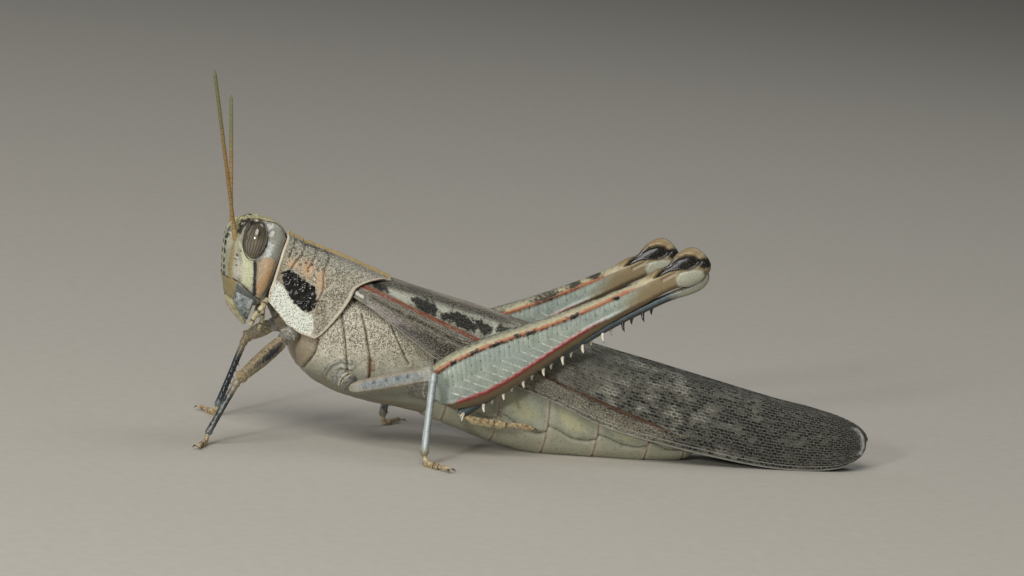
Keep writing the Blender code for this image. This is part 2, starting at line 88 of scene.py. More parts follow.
def bulge(value, power):
    return np.sign(value) * np.abs(value) ** (2 / power)


def hoopGrid(rows, angles, waist, power, lowPower=None):
    # Rows hold the upper and lower point (y, z) and the half width. Angle 90 degrees is the upper point.
    # A power above 2 squares the hoop up; lowPower does so for the lower half.
    high, low = rows[:, None, 0:2], rows[:, None, 2:4]
    centre = low + (high - low) * waist
    rise = np.sin(angles)[None, :, None]
    reach = np.where(rise > 0, high - centre, low - centre)
    power = np.where(rise > 0, power, lowPower or power)
    across = rows[:, None, 4:5] * bulge(np.cos(angles)[None, :, None], power)
    return np.concatenate([across, centre + reach * np.abs(bulge(rise, power))], -1)


def evenAngles(rows, count, waist, power, lowPower=None):
    # Angles that put the grid's points at even steps round the middle ring.
    dense = np.radians(np.linspace(-90, 270, 721))
    along = runLength(hoopGrid(rows[len(rows) // 2][None], dense, waist, power, lowPower)[0])
    return np.interp(np.linspace(0, along[-1], count + 1)[:count], along, dense)


def hoopShell(settings):
    # A piece's rows as even rings of even points, by its hoop's waist and squareness.
    rings, points = settings["grid"]
    along, rows = smoothRows(settings["rows"], rings, settings["measured"])
    angles = evenAngles(rows, points, *settings["hoop"])
    return along, rows, hoopGrid(rows, angles, *settings["hoop"])


def tubeGrid(path, widths, heights, lift, around, power=2.0, below=None, sideways=None):
    # A rod along a path of points. Heights are measured along lift and widths across it, or along sideways.
    path = np.array(path, float)
    along = np.gradient(path, axis=0)
    along /= np.linalg.norm(along, axis=1, keepdims=True)
    across = np.cross(along, np.array(lift, float)) if sideways is None else np.array(sideways) + 0 * along
    across /= np.linalg.norm(across, axis=1, keepdims=True)
    up = np.cross(across, along)
    angles = np.linspace(0, 2 * math.pi, around, endpoint=False)
    side, rise = bulge(np.cos(angles), power), bulge(np.sin(angles), power)
    below = heights if below is None else below
    tall = np.where(rise[None] > 0, np.asarray(heights)[:, None], np.asarray(below)[:, None])
    return (path[:, None] + across[:, None] * (np.asarray(widths)[:, None] * side[None])[..., None]
            + up[:, None] * (tall * rise[None])[..., None])


def normalsOf(grid, closed=True):
    along = np.gradient(grid, axis=0)
    if closed:
        around = np.roll(grid, -1, 1) - np.roll(grid, 1, 1)
    else:
        around = np.gradient(grid, axis=1)
    normals = np.cross(around, along)
    normals /= np.maximum(np.linalg.norm(normals, axis=-1, keepdims=True), 1e-9)
    centre = grid.mean(1, keepdims=True) if closed else grid.reshape(-1, 3).mean(0)
    outward = (normals * (grid - centre)).sum()
    return normals * (1 if outward > 0 else -1)


def raised(grid, height, closed=True):
    return grid + normalsOf(grid, closed) * height[..., None]


def folded(outer, thickness):
    # A thin shell as one ring for each row: out along the outer face and back along the inner one.
    inner = outer - normalsOf(outer, False) * thickness
    return np.concatenate([outer, inner[:, ::-1]], 1)


def lineDistance(points, line):
    # Distance in millimetres from each point to a line of points with as many coordinates.
    best = np.full(points.shape[:-1], 1e9)
    line = np.array(line, float)
    for a, b in zip(line, line[1:]):
        run = b - a
        t = np.clip(((points - a) @ run) / (run @ run), 0, 1)
        best = np.minimum(best, np.linalg.norm(points - a - t[..., None] * run, axis=-1))
    return best


def outlineDistance(points, outline):
    # The same to a closed outline in a plane, negative inside it.
    outline = np.array(outline, float)
    closed = np.vstack([outline, outline[:1]])
    inside = np.zeros(points.shape[:-1], bool)
    for a, b in zip(closed, closed[1:]):
        crosses = (a[1] > points[..., 1]) != (b[1] > points[..., 1])
        rise = b[1] - a[1] if b[1] != a[1] else 1e-9
        inside ^= crosses & (points[..., 0] < a[0] + (b[0] - a[0]) * (points[..., 1] - a[1]) / rise)
    return lineDistance(points, closed) * np.where(inside, -1, 1)


def lowest(points, shapes, measure):
    return np.min([measure(points, shape) for shape in shapes], axis=0)


def hashed(cells, seed):
    # A share from 0 to 1 for each cell, by mixing the bits of its three whole numbers.
    mixed = cells[..., 0] * 73856093 ^ cells[..., 1] * 19349663 ^ cells[..., 2] * 83492791
    mixed ^= seed * 7919 + 17
    mixed = (mixed ^ (mixed >> 13)) * 1274126177 & 0xFFFFFFFF
    mixed = (mixed ^ (mixed >> 15)) * 2246822519 & 0xFFFFFFFF
    return (mixed >> 8 & 0xFFFF) / 65535


def softNoise(points, size, seed=0):
    # Smooth noise from -1 to 1 with features about size across.
    scaled = points / size
    base = np.floor(scaled).astype(np.int64)
    part = scaled - base
    part = part * part * (3 - 2 * part)
    total = np.zeros(points.shape[:-1])
    for corner in range(8):
        step = np.array([corner & 1, corner >> 1 & 1, corner >> 2])
        weight = np.prod(np.where(step, part, 1 - part), axis=-1)
        total += weight * hashed(base + step, seed)
    return total * 2 - 1


def cellDistance(points, size, seed=0):
    # Distance to the nearest of one random point in each cell, in cell sizes.
    scaled = points / size
    base = np.floor(scaled).astype(np.int64)
    best = np.full(points.shape[:-1], 9.0)
    for i in range(27):
        cell = base + np.array([i % 3 - 1, i // 3 % 3 - 1, i // 9 - 1])
        seedPoint = cell + np.stack([hashed(cell, seed + k) for k in (1, 2, 3)], -1)
        best = np.minimum(best, np.linalg.norm(scaled - seedPoint, axis=-1))
    return best


def bump(distance, width):
    return np.exp(-(distance / width) ** 2)


def ramp(value, low, high):
    t = np.clip((value - low) / (high - low), 0, 1)
    return t * t * (3 - 2 * t)


def only(where, field=0.0):
    # Keeps a field to part of the surface.
    return np.where(where, field, nowhere)


def patch(grid, fields=None, strip=False, flow=None):
    # Quads over closed rings, with the end rings fanned shut or, for a folded shell, stitched across.
    rows, columns = grid.shape[:2]
    i, j = np.meshgrid(np.arange(rows - 1), np.arange(columns), indexing="ij")
    k = (j + 1) % columns
    quads = np.stack([i * columns + j, i * columns + k, (i + 1) * columns + k, (i + 1) * columns + j], -1)
    if flow is None:
        ring = grid[rows // 2]
        flow = runLength(grid.mean(1)), runLength(np.vstack([ring, ring[:1]]))
    u, v = flow
    corners = np.stack([
        np.stack([u[i], v[j]], -1), np.stack([u[i], v[j + 1]], -1),
        np.stack([u[i + 1], v[j + 1]], -1), np.stack([u[i + 1], v[j]], -1),
    ], 2)
    points = grid.reshape(-1, 3)
    faces, maps = [quads.reshape(-1, 4)], [corners.reshape(-1, 4, 2)]
    half = columns // 2
    shape = (rows, half if strip else columns)
    fields = {name: np.broadcast_to(values, shape) for name, values in (fields or {}).items()}
    if strip:   # the inner face wears what the outer one does
        fields = {name: np.concatenate([values, values[:, ::-1]], 1) for name, values in fields.items()}
    fields = {name: values.ravel() for name, values in fields.items()}
    for row in (0, rows - 1):
        first = row * columns
        if strip:
            j = np.arange(half - 1)
            cap = [first + j, first + j + 1, first + columns - 2 - j, first + columns - 1 - j]
        else:
            j = np.arange(columns)
            cap = [first + j, first + (j + 1) % columns, np.full(columns, len(points))]
            points = np.vstack([points, grid[row].mean(0)])
            fields = {name: np.append(values, values[first]) for name, values in fields.items()}
        faces.append(np.stack(cap, -1))
        maps.append(np.tile([[u[row], v[0]]], (*faces[-1].shape, 1)).astype(float))
    return {"points": points, "faces": faces, "maps": maps, "fields": fields}


def addPiece(name, patches, material, slot, *nodes):
    # Joins the patches into one mesh, turns them to metres and rides it on the body.
    patches = [patches] if isinstance(patches, dict) else patches
    shift = np.cumsum([0] + [len(p["points"]) for p in patches])
    points = np.vstack([p["points"] for p in patches]) * mm + origin
    faces = [f + at for p, at in zip(patches, shift) for f in p["faces"]]
    maps = np.vstack([m.reshape(-1, 2) for p in patches for m in p["maps"]])
    corners = np.concatenate([f.ravel() for f in faces])
    sizes = np.concatenate([np.full(len(f), f.shape[1]) for f in faces])
    mesh = bpy.data.meshes.new(name)
    mesh.vertices.add(len(points))
    mesh.vertices.foreach_set("co", points.astype(np.float32).ravel())
    mesh.loops.add(len(corners))
    mesh.loops.foreach_set("vertex_index", corners.astype(np.int32))
    mesh.polygons.add(len(sizes))
    mesh.polygons.foreach_set("loop_start", np.concatenate([[0], np.cumsum(sizes)[:-1]]).astype(np.int32))
    mesh.update(calc_edges=True)
    mesh.uv_layers.new(name="flow").uv.foreach_set("vector", maps.astype(np.float32).ravel())
    for field in sorted({f for p in patches for f in p["fields"]} | set(material.get("fields", ()))):
        values = np.concatenate([p["fields"].get(field, np.full(len(p["points"]), nowhere)) for p in patches])
        mesh.attributes.new(field, "FLOAT", "POINT").data.foreach_set("value", values.astype(np.float32))
    mesh.validate()
    turnOutward(mesh)
    mesh.shade_smooth()
    mesh.materials.append(material)
    piece = bpy.data.objects.new(name, mesh)
    bpy.context.scene.collection.objects.link(piece)
    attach(piece, "root")
    if nodes:
        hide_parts(*nodes)
    return piece


def turnOutward(mesh):
    # Every closed shell gets its faces pointing out.
    bm = bmesh.new()
    bm.from_mesh(mesh)
    bmesh.ops.recalc_face_normals(bm, faces=bm.faces)
    bm.to_mesh(mesh)
    bm.free()


def linear(hexColour):
    # sRGB hex to the linear values that a shader works in.
    values = [int(hexColour[i:i + 2], 16) / 255 for i in (1, 3, 5)]
    return (*[v / 12.92 if v <= 0.04045 else ((v + 0.055) / 1.055) ** 2.4 for v in values], 1)


def add(tree, kind, links=None, out=0, **settings):
    # Adds a node with its settings and gives one of its outputs. Its inputs, by name or by place, are linked
    # or get a value.
    node = tree.nodes.new("ShaderNode" + kind)
    for key, value in settings.items():
        setattr(node, key, value)
    for key, value in (links or {}).items():
        if isinstance(value, bpy.types.NodeSocket):
            tree.links.new(value, node.inputs[key])
        else:
            node.inputs[key].default_value = value
    return node.outputs[out] if node.outputs else None


inColour = {"out": 2, "data_type": "RGBA"}   # for a Mix node that mixes colours


def startMaterial(name):
    # An empty material and each point's place in millimetres.
    material = bpy.data.materials.new(name)
    material.use_nodes = True
    tree = material.node_tree
    tree.nodes.clear()
    place = add(tree, "TexCoord", out="Object")
    return material, tree, add(tree, "VectorMath", {0: place, 3: 1 / mm}, operation="SCALE")


def painted(tree, colour, wave, marks, fields):
    # Lays each mark over the colour where its field is below "at"; wobble in mm makes its edge ragged.
    shares = {}
    for name, mark in marks.items():
        mark = {"at": 0.0, "soft": 0.3, "wobble": 0.3, "strength": 1.0, **mark}
        edge = add(tree, "Math", {0: wave, 1: mark["wobble"], 2: fields[name]}, operation="MULTIPLY_ADD")
        low, high = mark["at"] - mark["soft"], mark["at"] + mark["soft"]
        share = add(tree, "MapRange", {0: edge, 1: high, 2: low, 4: mark["strength"]})
        colour = add(tree, "Mix", {0: share, 6: colour, 7: linear(mark["colour"])}, **inColour)
        shares[name] = share
    return colour, shares


# A shell's look unless its own dictionary says otherwise; sizes are in mm, and wax is the coat's weight
plainShell = {
    "ripple": 0.35, "pits": 0.14, "bump": 0.35, "grain": 0.14, "grainSize": 0.09, "roughness": 0.42,
    "wax": 0.15, "specks": (),
}


def cuticle(name, look):
    # Insect shell: waxy hardened chitin, satin and finely pitted, with pigment in layers under the wax.
    # It has two base colours in patches, marks over each other in order, specks of pigment and fine grain.
    look = {**plainShell, **look}
    material, tree, place = startMaterial(name)
    drift = add(tree, "TexNoise", {"Vector": place, "Scale": 1 / look["patch"], "Detail": 4.0})
    drift = add(tree, "MapRange", {0: drift, 1: 0.36, 2: 0.64})
    pair = {0: drift, 6: linear(look["base"][0]), 7: linear(look["base"][1])}
    colour = add(tree, "Mix", pair, **inColour)
    wave = add(tree, "TexNoise", {"Vector": place, "Scale": 1 / look["ripple"], "Detail": 3.0})
    wave = add(tree, "Math", {0: wave, 1: 0.5}, operation="SUBTRACT")
    fields = {field: add(tree, "Attribute", out="Fac", attribute_name=field) for field in look["marks"]}
    colour, shares = painted(tree, colour, wave, look["marks"], fields)
    for speck in look["specks"]:
        cells = add(tree, "TexVoronoi", {"Vector": place, "Scale": 1 / speck["size"]})
        ragged = add(tree, "Math", {0: wave, 1: 0.3, 2: cells}, operation="MULTIPLY_ADD")
        tone = add(tree, "SeparateColor", {0: cells.node.outputs["Color"]})
        size = {0: tone, 1: speck["radius"] * 0.55, 2: speck["radius"] * 0.45}
        radius = add(tree, "Math", size, operation="MULTIPLY_ADD")
        if "field" in speck:   # fewer and smaller from "all" to "none"
            spread = add(tree, "Attribute", out="Fac", attribute_name=speck["field"])
            spread = add(tree, "MapRange", {0: spread, 1: speck["none"], 2: speck["all"]})
            radius = add(tree, "Math", {0: radius, 1: spread}, operation="MULTIPLY")
        gap = add(tree, "Math", {0: ragged, 1: radius}, operation="SUBTRACT")
        share = add(tree, "MapRange", {0: gap, 1: 0.08, 2: -0.06, 4: speck.get("strength", 0.75)})
        colour = add(tree, "Mix", {0: share, 6: colour, 7: linear(speck["colour"])}, **inColour)
    grain = {"Vector": place, "Scale": 1 / look["grainSize"], "Detail": 3.0, "Roughness": 0.65}
    fine = add(tree, "TexNoise", grain)
    tint = add(tree, "MapRange", {0: fine, 1: 0.3, 2: 0.7, 3: 1 - look["grain"], 4: 1 + look["grain"]})
    colour = add(tree, "Mix", {0: 1.0, 6: colour, 7: tint}, **inColour, blend_type="MULTIPLY")
    pits = add(tree, "TexVoronoi", {"Vector": place, "Scale": 1 / look["pits"]})
    pits = add(tree, "MapRange", {0: pits, 1: 0.15, 2: 0.5})
    rough = add(tree, "Math", {0: fine, 1: 0.3, 2: pits}, operation="MULTIPLY_ADD")
    normal = add(tree, "Bump", {"Height": rough, "Strength": look["bump"], "Distance": 0.03 * mm})
    gloss = add(tree, "MapRange", {0: drift, 3: look["roughness"] - 0.06, 4: look["roughness"] + 0.08})
    for field, mark in look["marks"].items():
        if "gloss" in mark:
            gloss = add(tree, "Mix", {0: shares[field], 2: gloss, 3: mark["gloss"]})
    add(tree, "OutputMaterial", {0: add(tree, "BsdfPrincipled", {
        "Base Color": colour, "Normal": normal, "Roughness": gloss, "IOR": 1.5,
        "Coat Weight": look["wax"], "Coat Roughness": 0.25,
    })})
    material["fields"] = list(look["marks"])
    return material


# Lights: azimuth and elevation of the direction to the light, metres away, size in metres, watts, colour
stagePlan = {
    "azimuth": 76, "elevation": 8, "roll": 6.1, "lens": 150, "sensor": 36, "distance": 406.35,
    "target": (0, 28.049, 15.544),
    "worldColour": "#cdd0d2", "worldStrength": 0.16,
    "lights": {
        "keyLight": (60, 46, 0.55, 0.34, 1.7, "#fffcf8"),
        "frontLight": (54, 15, 0.60, 0.06, 1.15, "#fffefc"),
        "backLight": (215, 55, 0.60, 0.35, 0.55, "#f8faff"),
        "fillLight": (-40, 25, 0.70, 0.40, 0.25, "#f6f8ff"),
    },
    "floorColour": "#c4bfb4", "floorReach": 3,
}


def direction(azimuth, elevation):
    turn, tilt = math.radians(azimuth), math.radians(elevation)
    return Vector((math.sin(turn) * math.cos(tilt), -math.cos(turn) * math.cos(tilt), math.sin(tilt)))


def makeStage():
    scene = bpy.context.scene
    scene.view_settings.view_transform = "Standard"
    target = Vector(np.array(stagePlan["target"]) * mm + origin)
    back = direction(stagePlan["azimuth"], stagePlan["elevation"])
    turn, roll = math.radians(stagePlan["azimuth"]), math.radians(stagePlan["roll"])
    level = Vector((math.cos(turn), math.sin(turn), 0))
    rise = back.cross(level)
    side = level * math.cos(roll) + rise * math.sin(roll)
    up = -level * math.sin(roll) + rise * math.cos(roll)
    camera = bpy.data.objects.new("camera", bpy.data.cameras.new("camera"))
    camera.data.lens = stagePlan["lens"]
    camera.data.sensor_width = stagePlan["sensor"]
    camera.data.clip_start = 0.01
    spot = target + back * stagePlan["distance"] * mm
    camera.matrix_world = Matrix.Translation(spot) @ Matrix((side, up, back)).transposed().to_4x4()
    scene.collection.objects.link(camera)
    scene.camera = camera

    world = bpy.data.worlds.new("studio")
    world.use_nodes = True
    sky = world.node_tree.nodes["Background"].inputs
    sky[0].default_value = linear(stagePlan["worldColour"])
    sky[1].default_value = stagePlan["worldStrength"]
    scene.world = world
    for name, (azimuth, elevation, away, size, power, colour) in stagePlan["lights"].items():
        toward = direction(azimuth, elevation)
        lamp = bpy.data.lights.new(name, "AREA")
        lamp.shape, lamp.size, lamp.energy, lamp.color = "DISK", size, power, linear(colour)[:3]
        light = bpy.data.objects.new(name, lamp)
        light.location = target + toward * away
        light.rotation_euler = toward.to_track_quat("Z", "Y").to_euler()
        scene.collection.objects.link(light)

    # Floor: a sheet of matt studio paper with faint fibres
    mesh = bpy.data.meshes.new("floor")
    reach = stagePlan["floorReach"]
    corners = [(-reach, -reach, 0), (reach, -reach, 0), (reach, reach, 0), (-reach, reach, 0)]
    mesh.from_pydata(corners, [], [(0, 1, 2, 3)])
    floor = bpy.data.objects.new("floor", mesh)
    scene.collection.objects.link(floor)
    material, tree, place = startMaterial("studioPaper")
    fibre = add(tree, "TexNoise", {"Vector": place, "Scale": 0.8, "Detail": 6.0})
    tone = add(tree, "MapRange", {0: fibre, 1: 0.3, 2: 0.7, 3: 0.97, 4: 1.03})
    shade = {0: 1.0, 6: linear(stagePlan["floorColour"]), 7: tone}
    paper = add(tree, "Mix", shade, **inColour, blend_type="MULTIPLY")
    sheet = add(tree, "BsdfPrincipled", {"Base Color": paper, "Roughness": 0.9, "Specular IOR Level": 0.2})
    add(tree, "OutputMaterial", {0: sheet})
    mesh.materials.append(material)
    print("stage set")


# Size: half sizes in mm; lean: degrees backwards; bands: dark stripes in a full turn
eyePlan = {
    "size": (1.38, 1.08, 1.78), "lean": 9, "bands": 24, "base": "#5d5544", "stripe": "#362f25",
    "pale": "#797260", "rim": "#23201b", "roughness": 0.16, "lensSize": 0.05, "bandRipple": 5.0,
    "ocellus": {
        "base": ("#cfc9ae", "#a7a28a"), "patch": 0.1, "pits": 0.1, "bump": 0.05, "roughness": 0.15,
        "wax": 0.8,
        "marks": {
            "ring": {"colour": "#2c2a24", "soft": 0.03, "at": 0.06, "wobble": 0.0},
        },
    },
}


def eyeSpace(points):
    # Points as shares of the left eye's half sizes, along its own leaning axes.
    lean = math.radians(eyePlan["lean"])
    p = points - eyeCentre
    y = p[..., 1] * math.cos(lean) - p[..., 2] * math.sin(lean)
    z = p[..., 1] * math.sin(lean) + p[..., 2] * math.cos(lean)
    return np.stack([p[..., 0], y, z], -1) / eyePlan["size"]


headPlan = {
    # From the mouth up to the crown: front (y, z), back (y, z), half width
    "rows": [
        (1.0, 12.8, 3.1, 12.3, 1.7), (0.62, 12.95, 3.55, 12.5, 2.3), (0.38, 13.55, 3.9, 13.0, 2.8),
        (0.18, 14.6, 4.25, 13.95, 3.2), (0.05, 16.0, 4.65, 15.4, 3.45), (0.0, 17.3, 5.05, 16.9, 3.45),
        (0.05, 18.6, 5.4, 18.35, 3.05), (0.3, 19.5, 5.5, 19.2, 2.6), (0.85, 20.15, 5.2, 19.92, 2.1),
        (1.7, 20.48, 4.4, 20.4, 1.5), (2.6, 20.6, 3.4, 20.6, 0.4),
    ],
    "measured": [0, 1, 4], "grid": (170, 280), "hoop": (0.42, 2.2, 3.4),
    # Lines and outlines seen from the side (y, z)
    "cheekLine": [(2.35, 17.2), (2.5, 16.2), (2.6, 15.2), (2.75, 13.5)],
    "jawLine": [(0.7, 14.85), (1.2, 14.62), (1.9, 14.1), (2.5, 13.65), (3.1, 13.25), (3.5, 13.1)],
    "faceRidge": [(0.6, 18.4), (0.5, 17.0), (0.45, 16.0), (0.55, 15.0)],
    "gena": [
        (2.75, 16.7), (3.1, 17.2), (3.7, 17.2), (4.3, 16.9), (4.25, 15.3), (3.85, 14.3), (3.1, 13.35),
        (2.8, 14.5), (2.78, 16.0),
    ],
    "cheek": [
        (1.0, 18.4), (1.25, 17.1), (1.25, 15.8), (1.45, 14.65), (2.4, 14.0), (2.5, 15.2), (2.3, 17.3),
        (1.5, 17.6),
    ],
    "paleSpot": [(2.8, 17.0), (3.2, 17.7), (3.55, 18.6), (4.1, 18.5), (4.2, 17.9), (3.6, 17.2)],
    "crown": [
        (0.5, 19.4), (0.95, 20.15), (1.8, 20.5), (2.4, 20.4), (1.9, 20.05), (1.45, 19.75), (1.0, 19.1),
    ],
    "jaw": [(1.05, 14.6), (1.5, 14.35), (2.3, 13.8), (3.1, 13.2), (3.0, 12.0), (1.2, 12.0), (1.0, 13.0)],
    "genaVein": [(3.1, 15.4), (3.6, 16.0), (4.3, 16.3), (3.6, 16.0), (3.4, 16.8)],
    "lilac": [(0.8, 16.9), (1.2, 16.6), (1.35, 15.6), (1.0, 14.9), (0.75, 15.4)],
    "backEdge": [(5.5, 19.2), (5.0, 17.8), (4.6, 16.5), (4.4, 15.3), (4.15, 14.2), (3.6, 12.9)],
    # Heights of the dots down the front, and (y, z, radius) of those at the side
    "frontDots": (19.3, 18.7, 18.0, 17.2, 16.4, 15.7, 15.1),
    "sideDots": ((0.85, 17.2, 0.1), (0.75, 16.75, 0.08), (0.85, 16.2, 0.09), (1.1, 17.6, 0.06)),
    "base": ("#7f7b6c", "#a29d8b"), "patch": 0.4, "pits": 0.16, "roughness": 0.4, "grain": 0.28,
    "marks": {
        "face": {"colour": "#aaa992", "wobble": 0.15},
        "behind": {"colour": "#9b9c90", "soft": 0.4, "wobble": 0.8, "strength": 0.9},
        "rays": {"colour": "#d6d8cf", "soft": 0.22, "wobble": 0.8, "strength": 0.85},
        "paleSpot": {"colour": "#dde3e0", "wobble": 1.2, "strength": 0.7},
        "gena": {"colour": "#c6ae8e", "soft": 0.12, "wobble": 0.4},
        "genaPale": {"colour": "#cb9a66", "soft": 0.35, "wobble": 1.0, "strength": 0.8},
        "genaVein": {"colour": "#e0c2a3", "soft": 0.08, "at": 0.05, "wobble": 0.5, "strength": 0.8},
        "cheek": {"colour": "#d0d2b0", "soft": 0.15, "wobble": 0.35},
        "lilac": {"colour": "#cfcabf", "soft": 0.2, "wobble": 0.5, "strength": 0.8},
        "jaw": {"colour": "#666b69", "soft": 0.06, "wobble": 0.15},
        "faceRidge": {"colour": "#a08d5f", "soft": 0.07, "at": 0.13},
        "clypeus": {"colour": "#988a5b", "soft": 0.08, "wobble": 0.2},
        "crest": {"colour": "#d0c898", "soft": 0.12, "wobble": 0.2},
        "crestLine": {"colour": "#3c362b", "soft": 0.05, "at": 0.1, "wobble": 0.2},
        "crown": {"colour": "#26241f", "soft": 0.1, "wobble": 0.6},
        "cheekLine": {"colour": "#262b2f", "soft": 0.06, "at": 0.15, "wobble": 0.35},
        "dots": {"colour": "#262723", "soft": 0.05},
        "suture": {"colour": "#3b2e20", "soft": 0.03, "at": 0.05, "wobble": 0.08},
        "eyeRim": {"colour": "#4a4438", "soft": 0.02, "at": 0.03, "wobble": 0.04},
        "backEdge": {"colour": "#c9c6b4", "soft": 0.08, "at": 0.12, "wobble": 0.2, "strength": 0.8},
    },
    "specks": (
        {
            "size": 0.16, "radius": 0.46, "colour": "#3f403a", "field": "specks", "none": 0.4, "all": -0.3,
            "strength": 0.8,
        },
        {"size": 0.11, "radius": 0.42, "colour": "#5d584a", "strength": 0.4},
    ),
}


antennaPlan = {
    "socket": (1.25, 0.8, 18.4), "length": 16.5, "points": (620, 20),
    # How far each tip stands out to the side and back
    "reach": {left: (2.3, -3.9), right: (11.3, 0.7)},
    # Radius by share of the length: scape, pedicel and flagellum
    "radius": (
        (0, 0.04, 0.065, 0.07, 0.1, 0.105, 0.35, 0.7, 0.97, 1),
        (0.26, 0.28, 0.24, 0.19, 0.2, 0.16, 0.18, 0.18, 0.16, 0.07),
    ),
    "scapeEnd": 0.065, "pedicelEnd": 0.1, "joints": 24, "base": ("#8b6e3c", "#997b4a"), "patch": 0.9,
    "pits": 0.1, "bump": 0.2, "roughness": 0.4,
    "marks": {
        "tip": {"colour": "#77754c", "soft": 2.0, "wobble": 0.5},
        "root": {"colour": "#a38a58", "soft": 0.5, "wobble": 0.4},
        "joint": {"colour": "#5b4a2c", "soft": 0.03, "at": 0.04, "wobble": 0.02, "strength": 0.7},
    },
}


def feelerPath(side, ts):
    away, back = antennaPlan["reach"][side]
    rise = math.sqrt(antennaPlan["length"] ** 2 - away ** 2 - back ** 2)
    run = np.array([away, back, rise]) * np.asarray(ts)[:, None]
    return (antennaPlan["socket"] + run) * (side, 1, 1)


def makeHead():
    _, _, grid = hoopShell(headPlan)
    x, y, z = np.moveaxis(grid, -1, 0)
    wide = np.abs(x)
    leftSide = np.stack([wide, y, z], -1)
    face = grid[..., 1:]
    # Eye: share of the eye's outline, 1 at its rim
    eye = np.where(wide > 1.2, np.linalg.norm(eyeSpace(leftSide)[..., 1:], axis=-1), 9)
    socket = lineDistance(leftSide, feelerPath(left, (-0.02, 0.03, 0.09)))
    cheekLine = only(eye > 1.0, lineDistance(face, headPlan["cheekLine"]))
    jawLine = lineDistance(face, headPlan["jawLine"])
    faceRidge = only(y < 1.2, lineDistance(face, headPlan["faceRidge"]))
    lip = 14.85   # height of the groove over the upper lip
    middle = (y < 1.5) & (z > 14.6)
    frontEdges = only(middle, np.abs(wide - 0.55))
    lipLine = only(wide < 1.9, np.abs(z - lip))
    crestSide = wide - 1.5 + only((z > 19.3) | (y > 4.2))
    backEdge = only(z < 19, lineDistance(face, headPlan["backEdge"]))
    height = -0.5 * ramp(eye, 1.03, 0.88) + 0.11 * bump(eye - 1.09, 0.06)
    height -= 0.42 * ramp(socket, 0.95, 0.4)
    height += 0.10 * bump(frontEdges, 0.14) - 0.07 * np.where(middle, bump(x, 0.35), 0) * ramp(z, 19, 17.5)
    height += 0.10 * bump(faceRidge, 0.15) - 0.10 * bump(cheekLine, 0.12) - 0.10 * bump(jawLine, 0.08)
    height -= 0.09 * bump(lipLine, 0.09)
    height += 0.08 * bump(backEdge, 0.14)
    height += 0.025 * softNoise(grid, 0.6, 1) + 0.012 * softNoise(grid, 0.18, 2)
    shaped = raised(grid, height)
    turn = np.arctan2(eyeSpace(leftSide)[..., 2], eyeSpace(leftSide)[..., 1])
    rays = 0.25 - np.cos(turn * 19 + 2.5 * softNoise(grid, 0.5, 3)) + np.where(y > 3.3, 0, 3)
    rays += 3 * ramp(eye, 1.5, 2.0)
    dots = np.full(x.shape, nowhere)
    for level in headPlan["frontDots"]:
        dots = np.minimum(dots, np.hypot(wide - 0.62, (z - level) * 0.75) - 0.2 + only(middle))
    for spotY, spotZ, size in headPlan["sideDots"]:
        dots = np.minimum(dots, np.hypot(y - spotY, z - spotZ) - size)
    outlined = ("paleSpot", "gena", "cheek", "jaw", "lilac", "crown")
    fields = {name: outlineDistance(face, headPlan[name]) for name in outlined}
    fields["crown"] = fields["crown"] + only(wide > 0.7)
    fields.update({
        "face": only(y < 1.4, y - 1.1) + only(z > 14.8),
        "rays": rays,
        "faceRidge": faceRidge,
        "clypeus": np.maximum(y - 1.0, z - lip),
        "crest": crestSide,
        "crestLine": np.abs(crestSide - 0.08),
        "genaPale": np.maximum(fields["gena"] + 0.15, np.abs(y - 3.75 + 0.45 * (15.5 - z)) - 0.3),
        "behind": only((eye > 1.05) & (y > 2.9), 16.6 - z),
        "genaVein": only(fields["gena"] < 0, lineDistance(face, headPlan["genaVein"])),
        "backEdge": backEdge,
        "cheekLine": cheekLine,
        "dots": dots,
        "suture": np.min([jawLine, lipLine, only(z > 12.6, backEdge + 0.02)], axis=0),
        "eyeRim": np.abs(eye - 1.04),
        "specks": np.minimum(fields["jaw"], crestSide + 0.4),
    })
    addPiece("head", patch(shaped, fields), cuticle("headShell", headPlan), "head", "head")
    return shaped


def dome(centre, normal, radius, height, rings=14, around=36):
    # A low round lens standing on a surface; its field is the distance from its rim line.
    normal = unit(normal)
    first = unit(np.cross(normal, (0, 0, 1.0)))
    second = np.cross(normal, first)
    t = np.linspace(0.02, 1, rings)[:, None]
    turn = np.linspace(0, 2 * math.pi, around, endpoint=False)[None]
    flat = (np.cos(turn)[..., None] * first + np.sin(turn)[..., None] * second) * (t * radius)[..., None]
    rise = height * np.sqrt(np.maximum(1 - t ** 2, 0))
    grid = np.array(centre) + flat + rise[..., None] * normal
    grid = np.concatenate([grid, grid[-1:] - normal * 0.25])
    return patch(grid, {"ring": np.abs(np.vstack([t, [[1.0]]]) * radius - radius * 0.72)})


def nearest(grid, y, z, side):
    # The grid point on one side of the body nearest to (y, z), and its outward normal.
    gap = np.hypot(grid[..., 1] - y, grid[..., 2] - z) + np.where(grid[..., 0] * side > 0, 0, 99)
    i, j = np.unravel_index(np.argmin(gap), gap.shape)
    return grid[i, j], normalsOf(grid)[i, j]


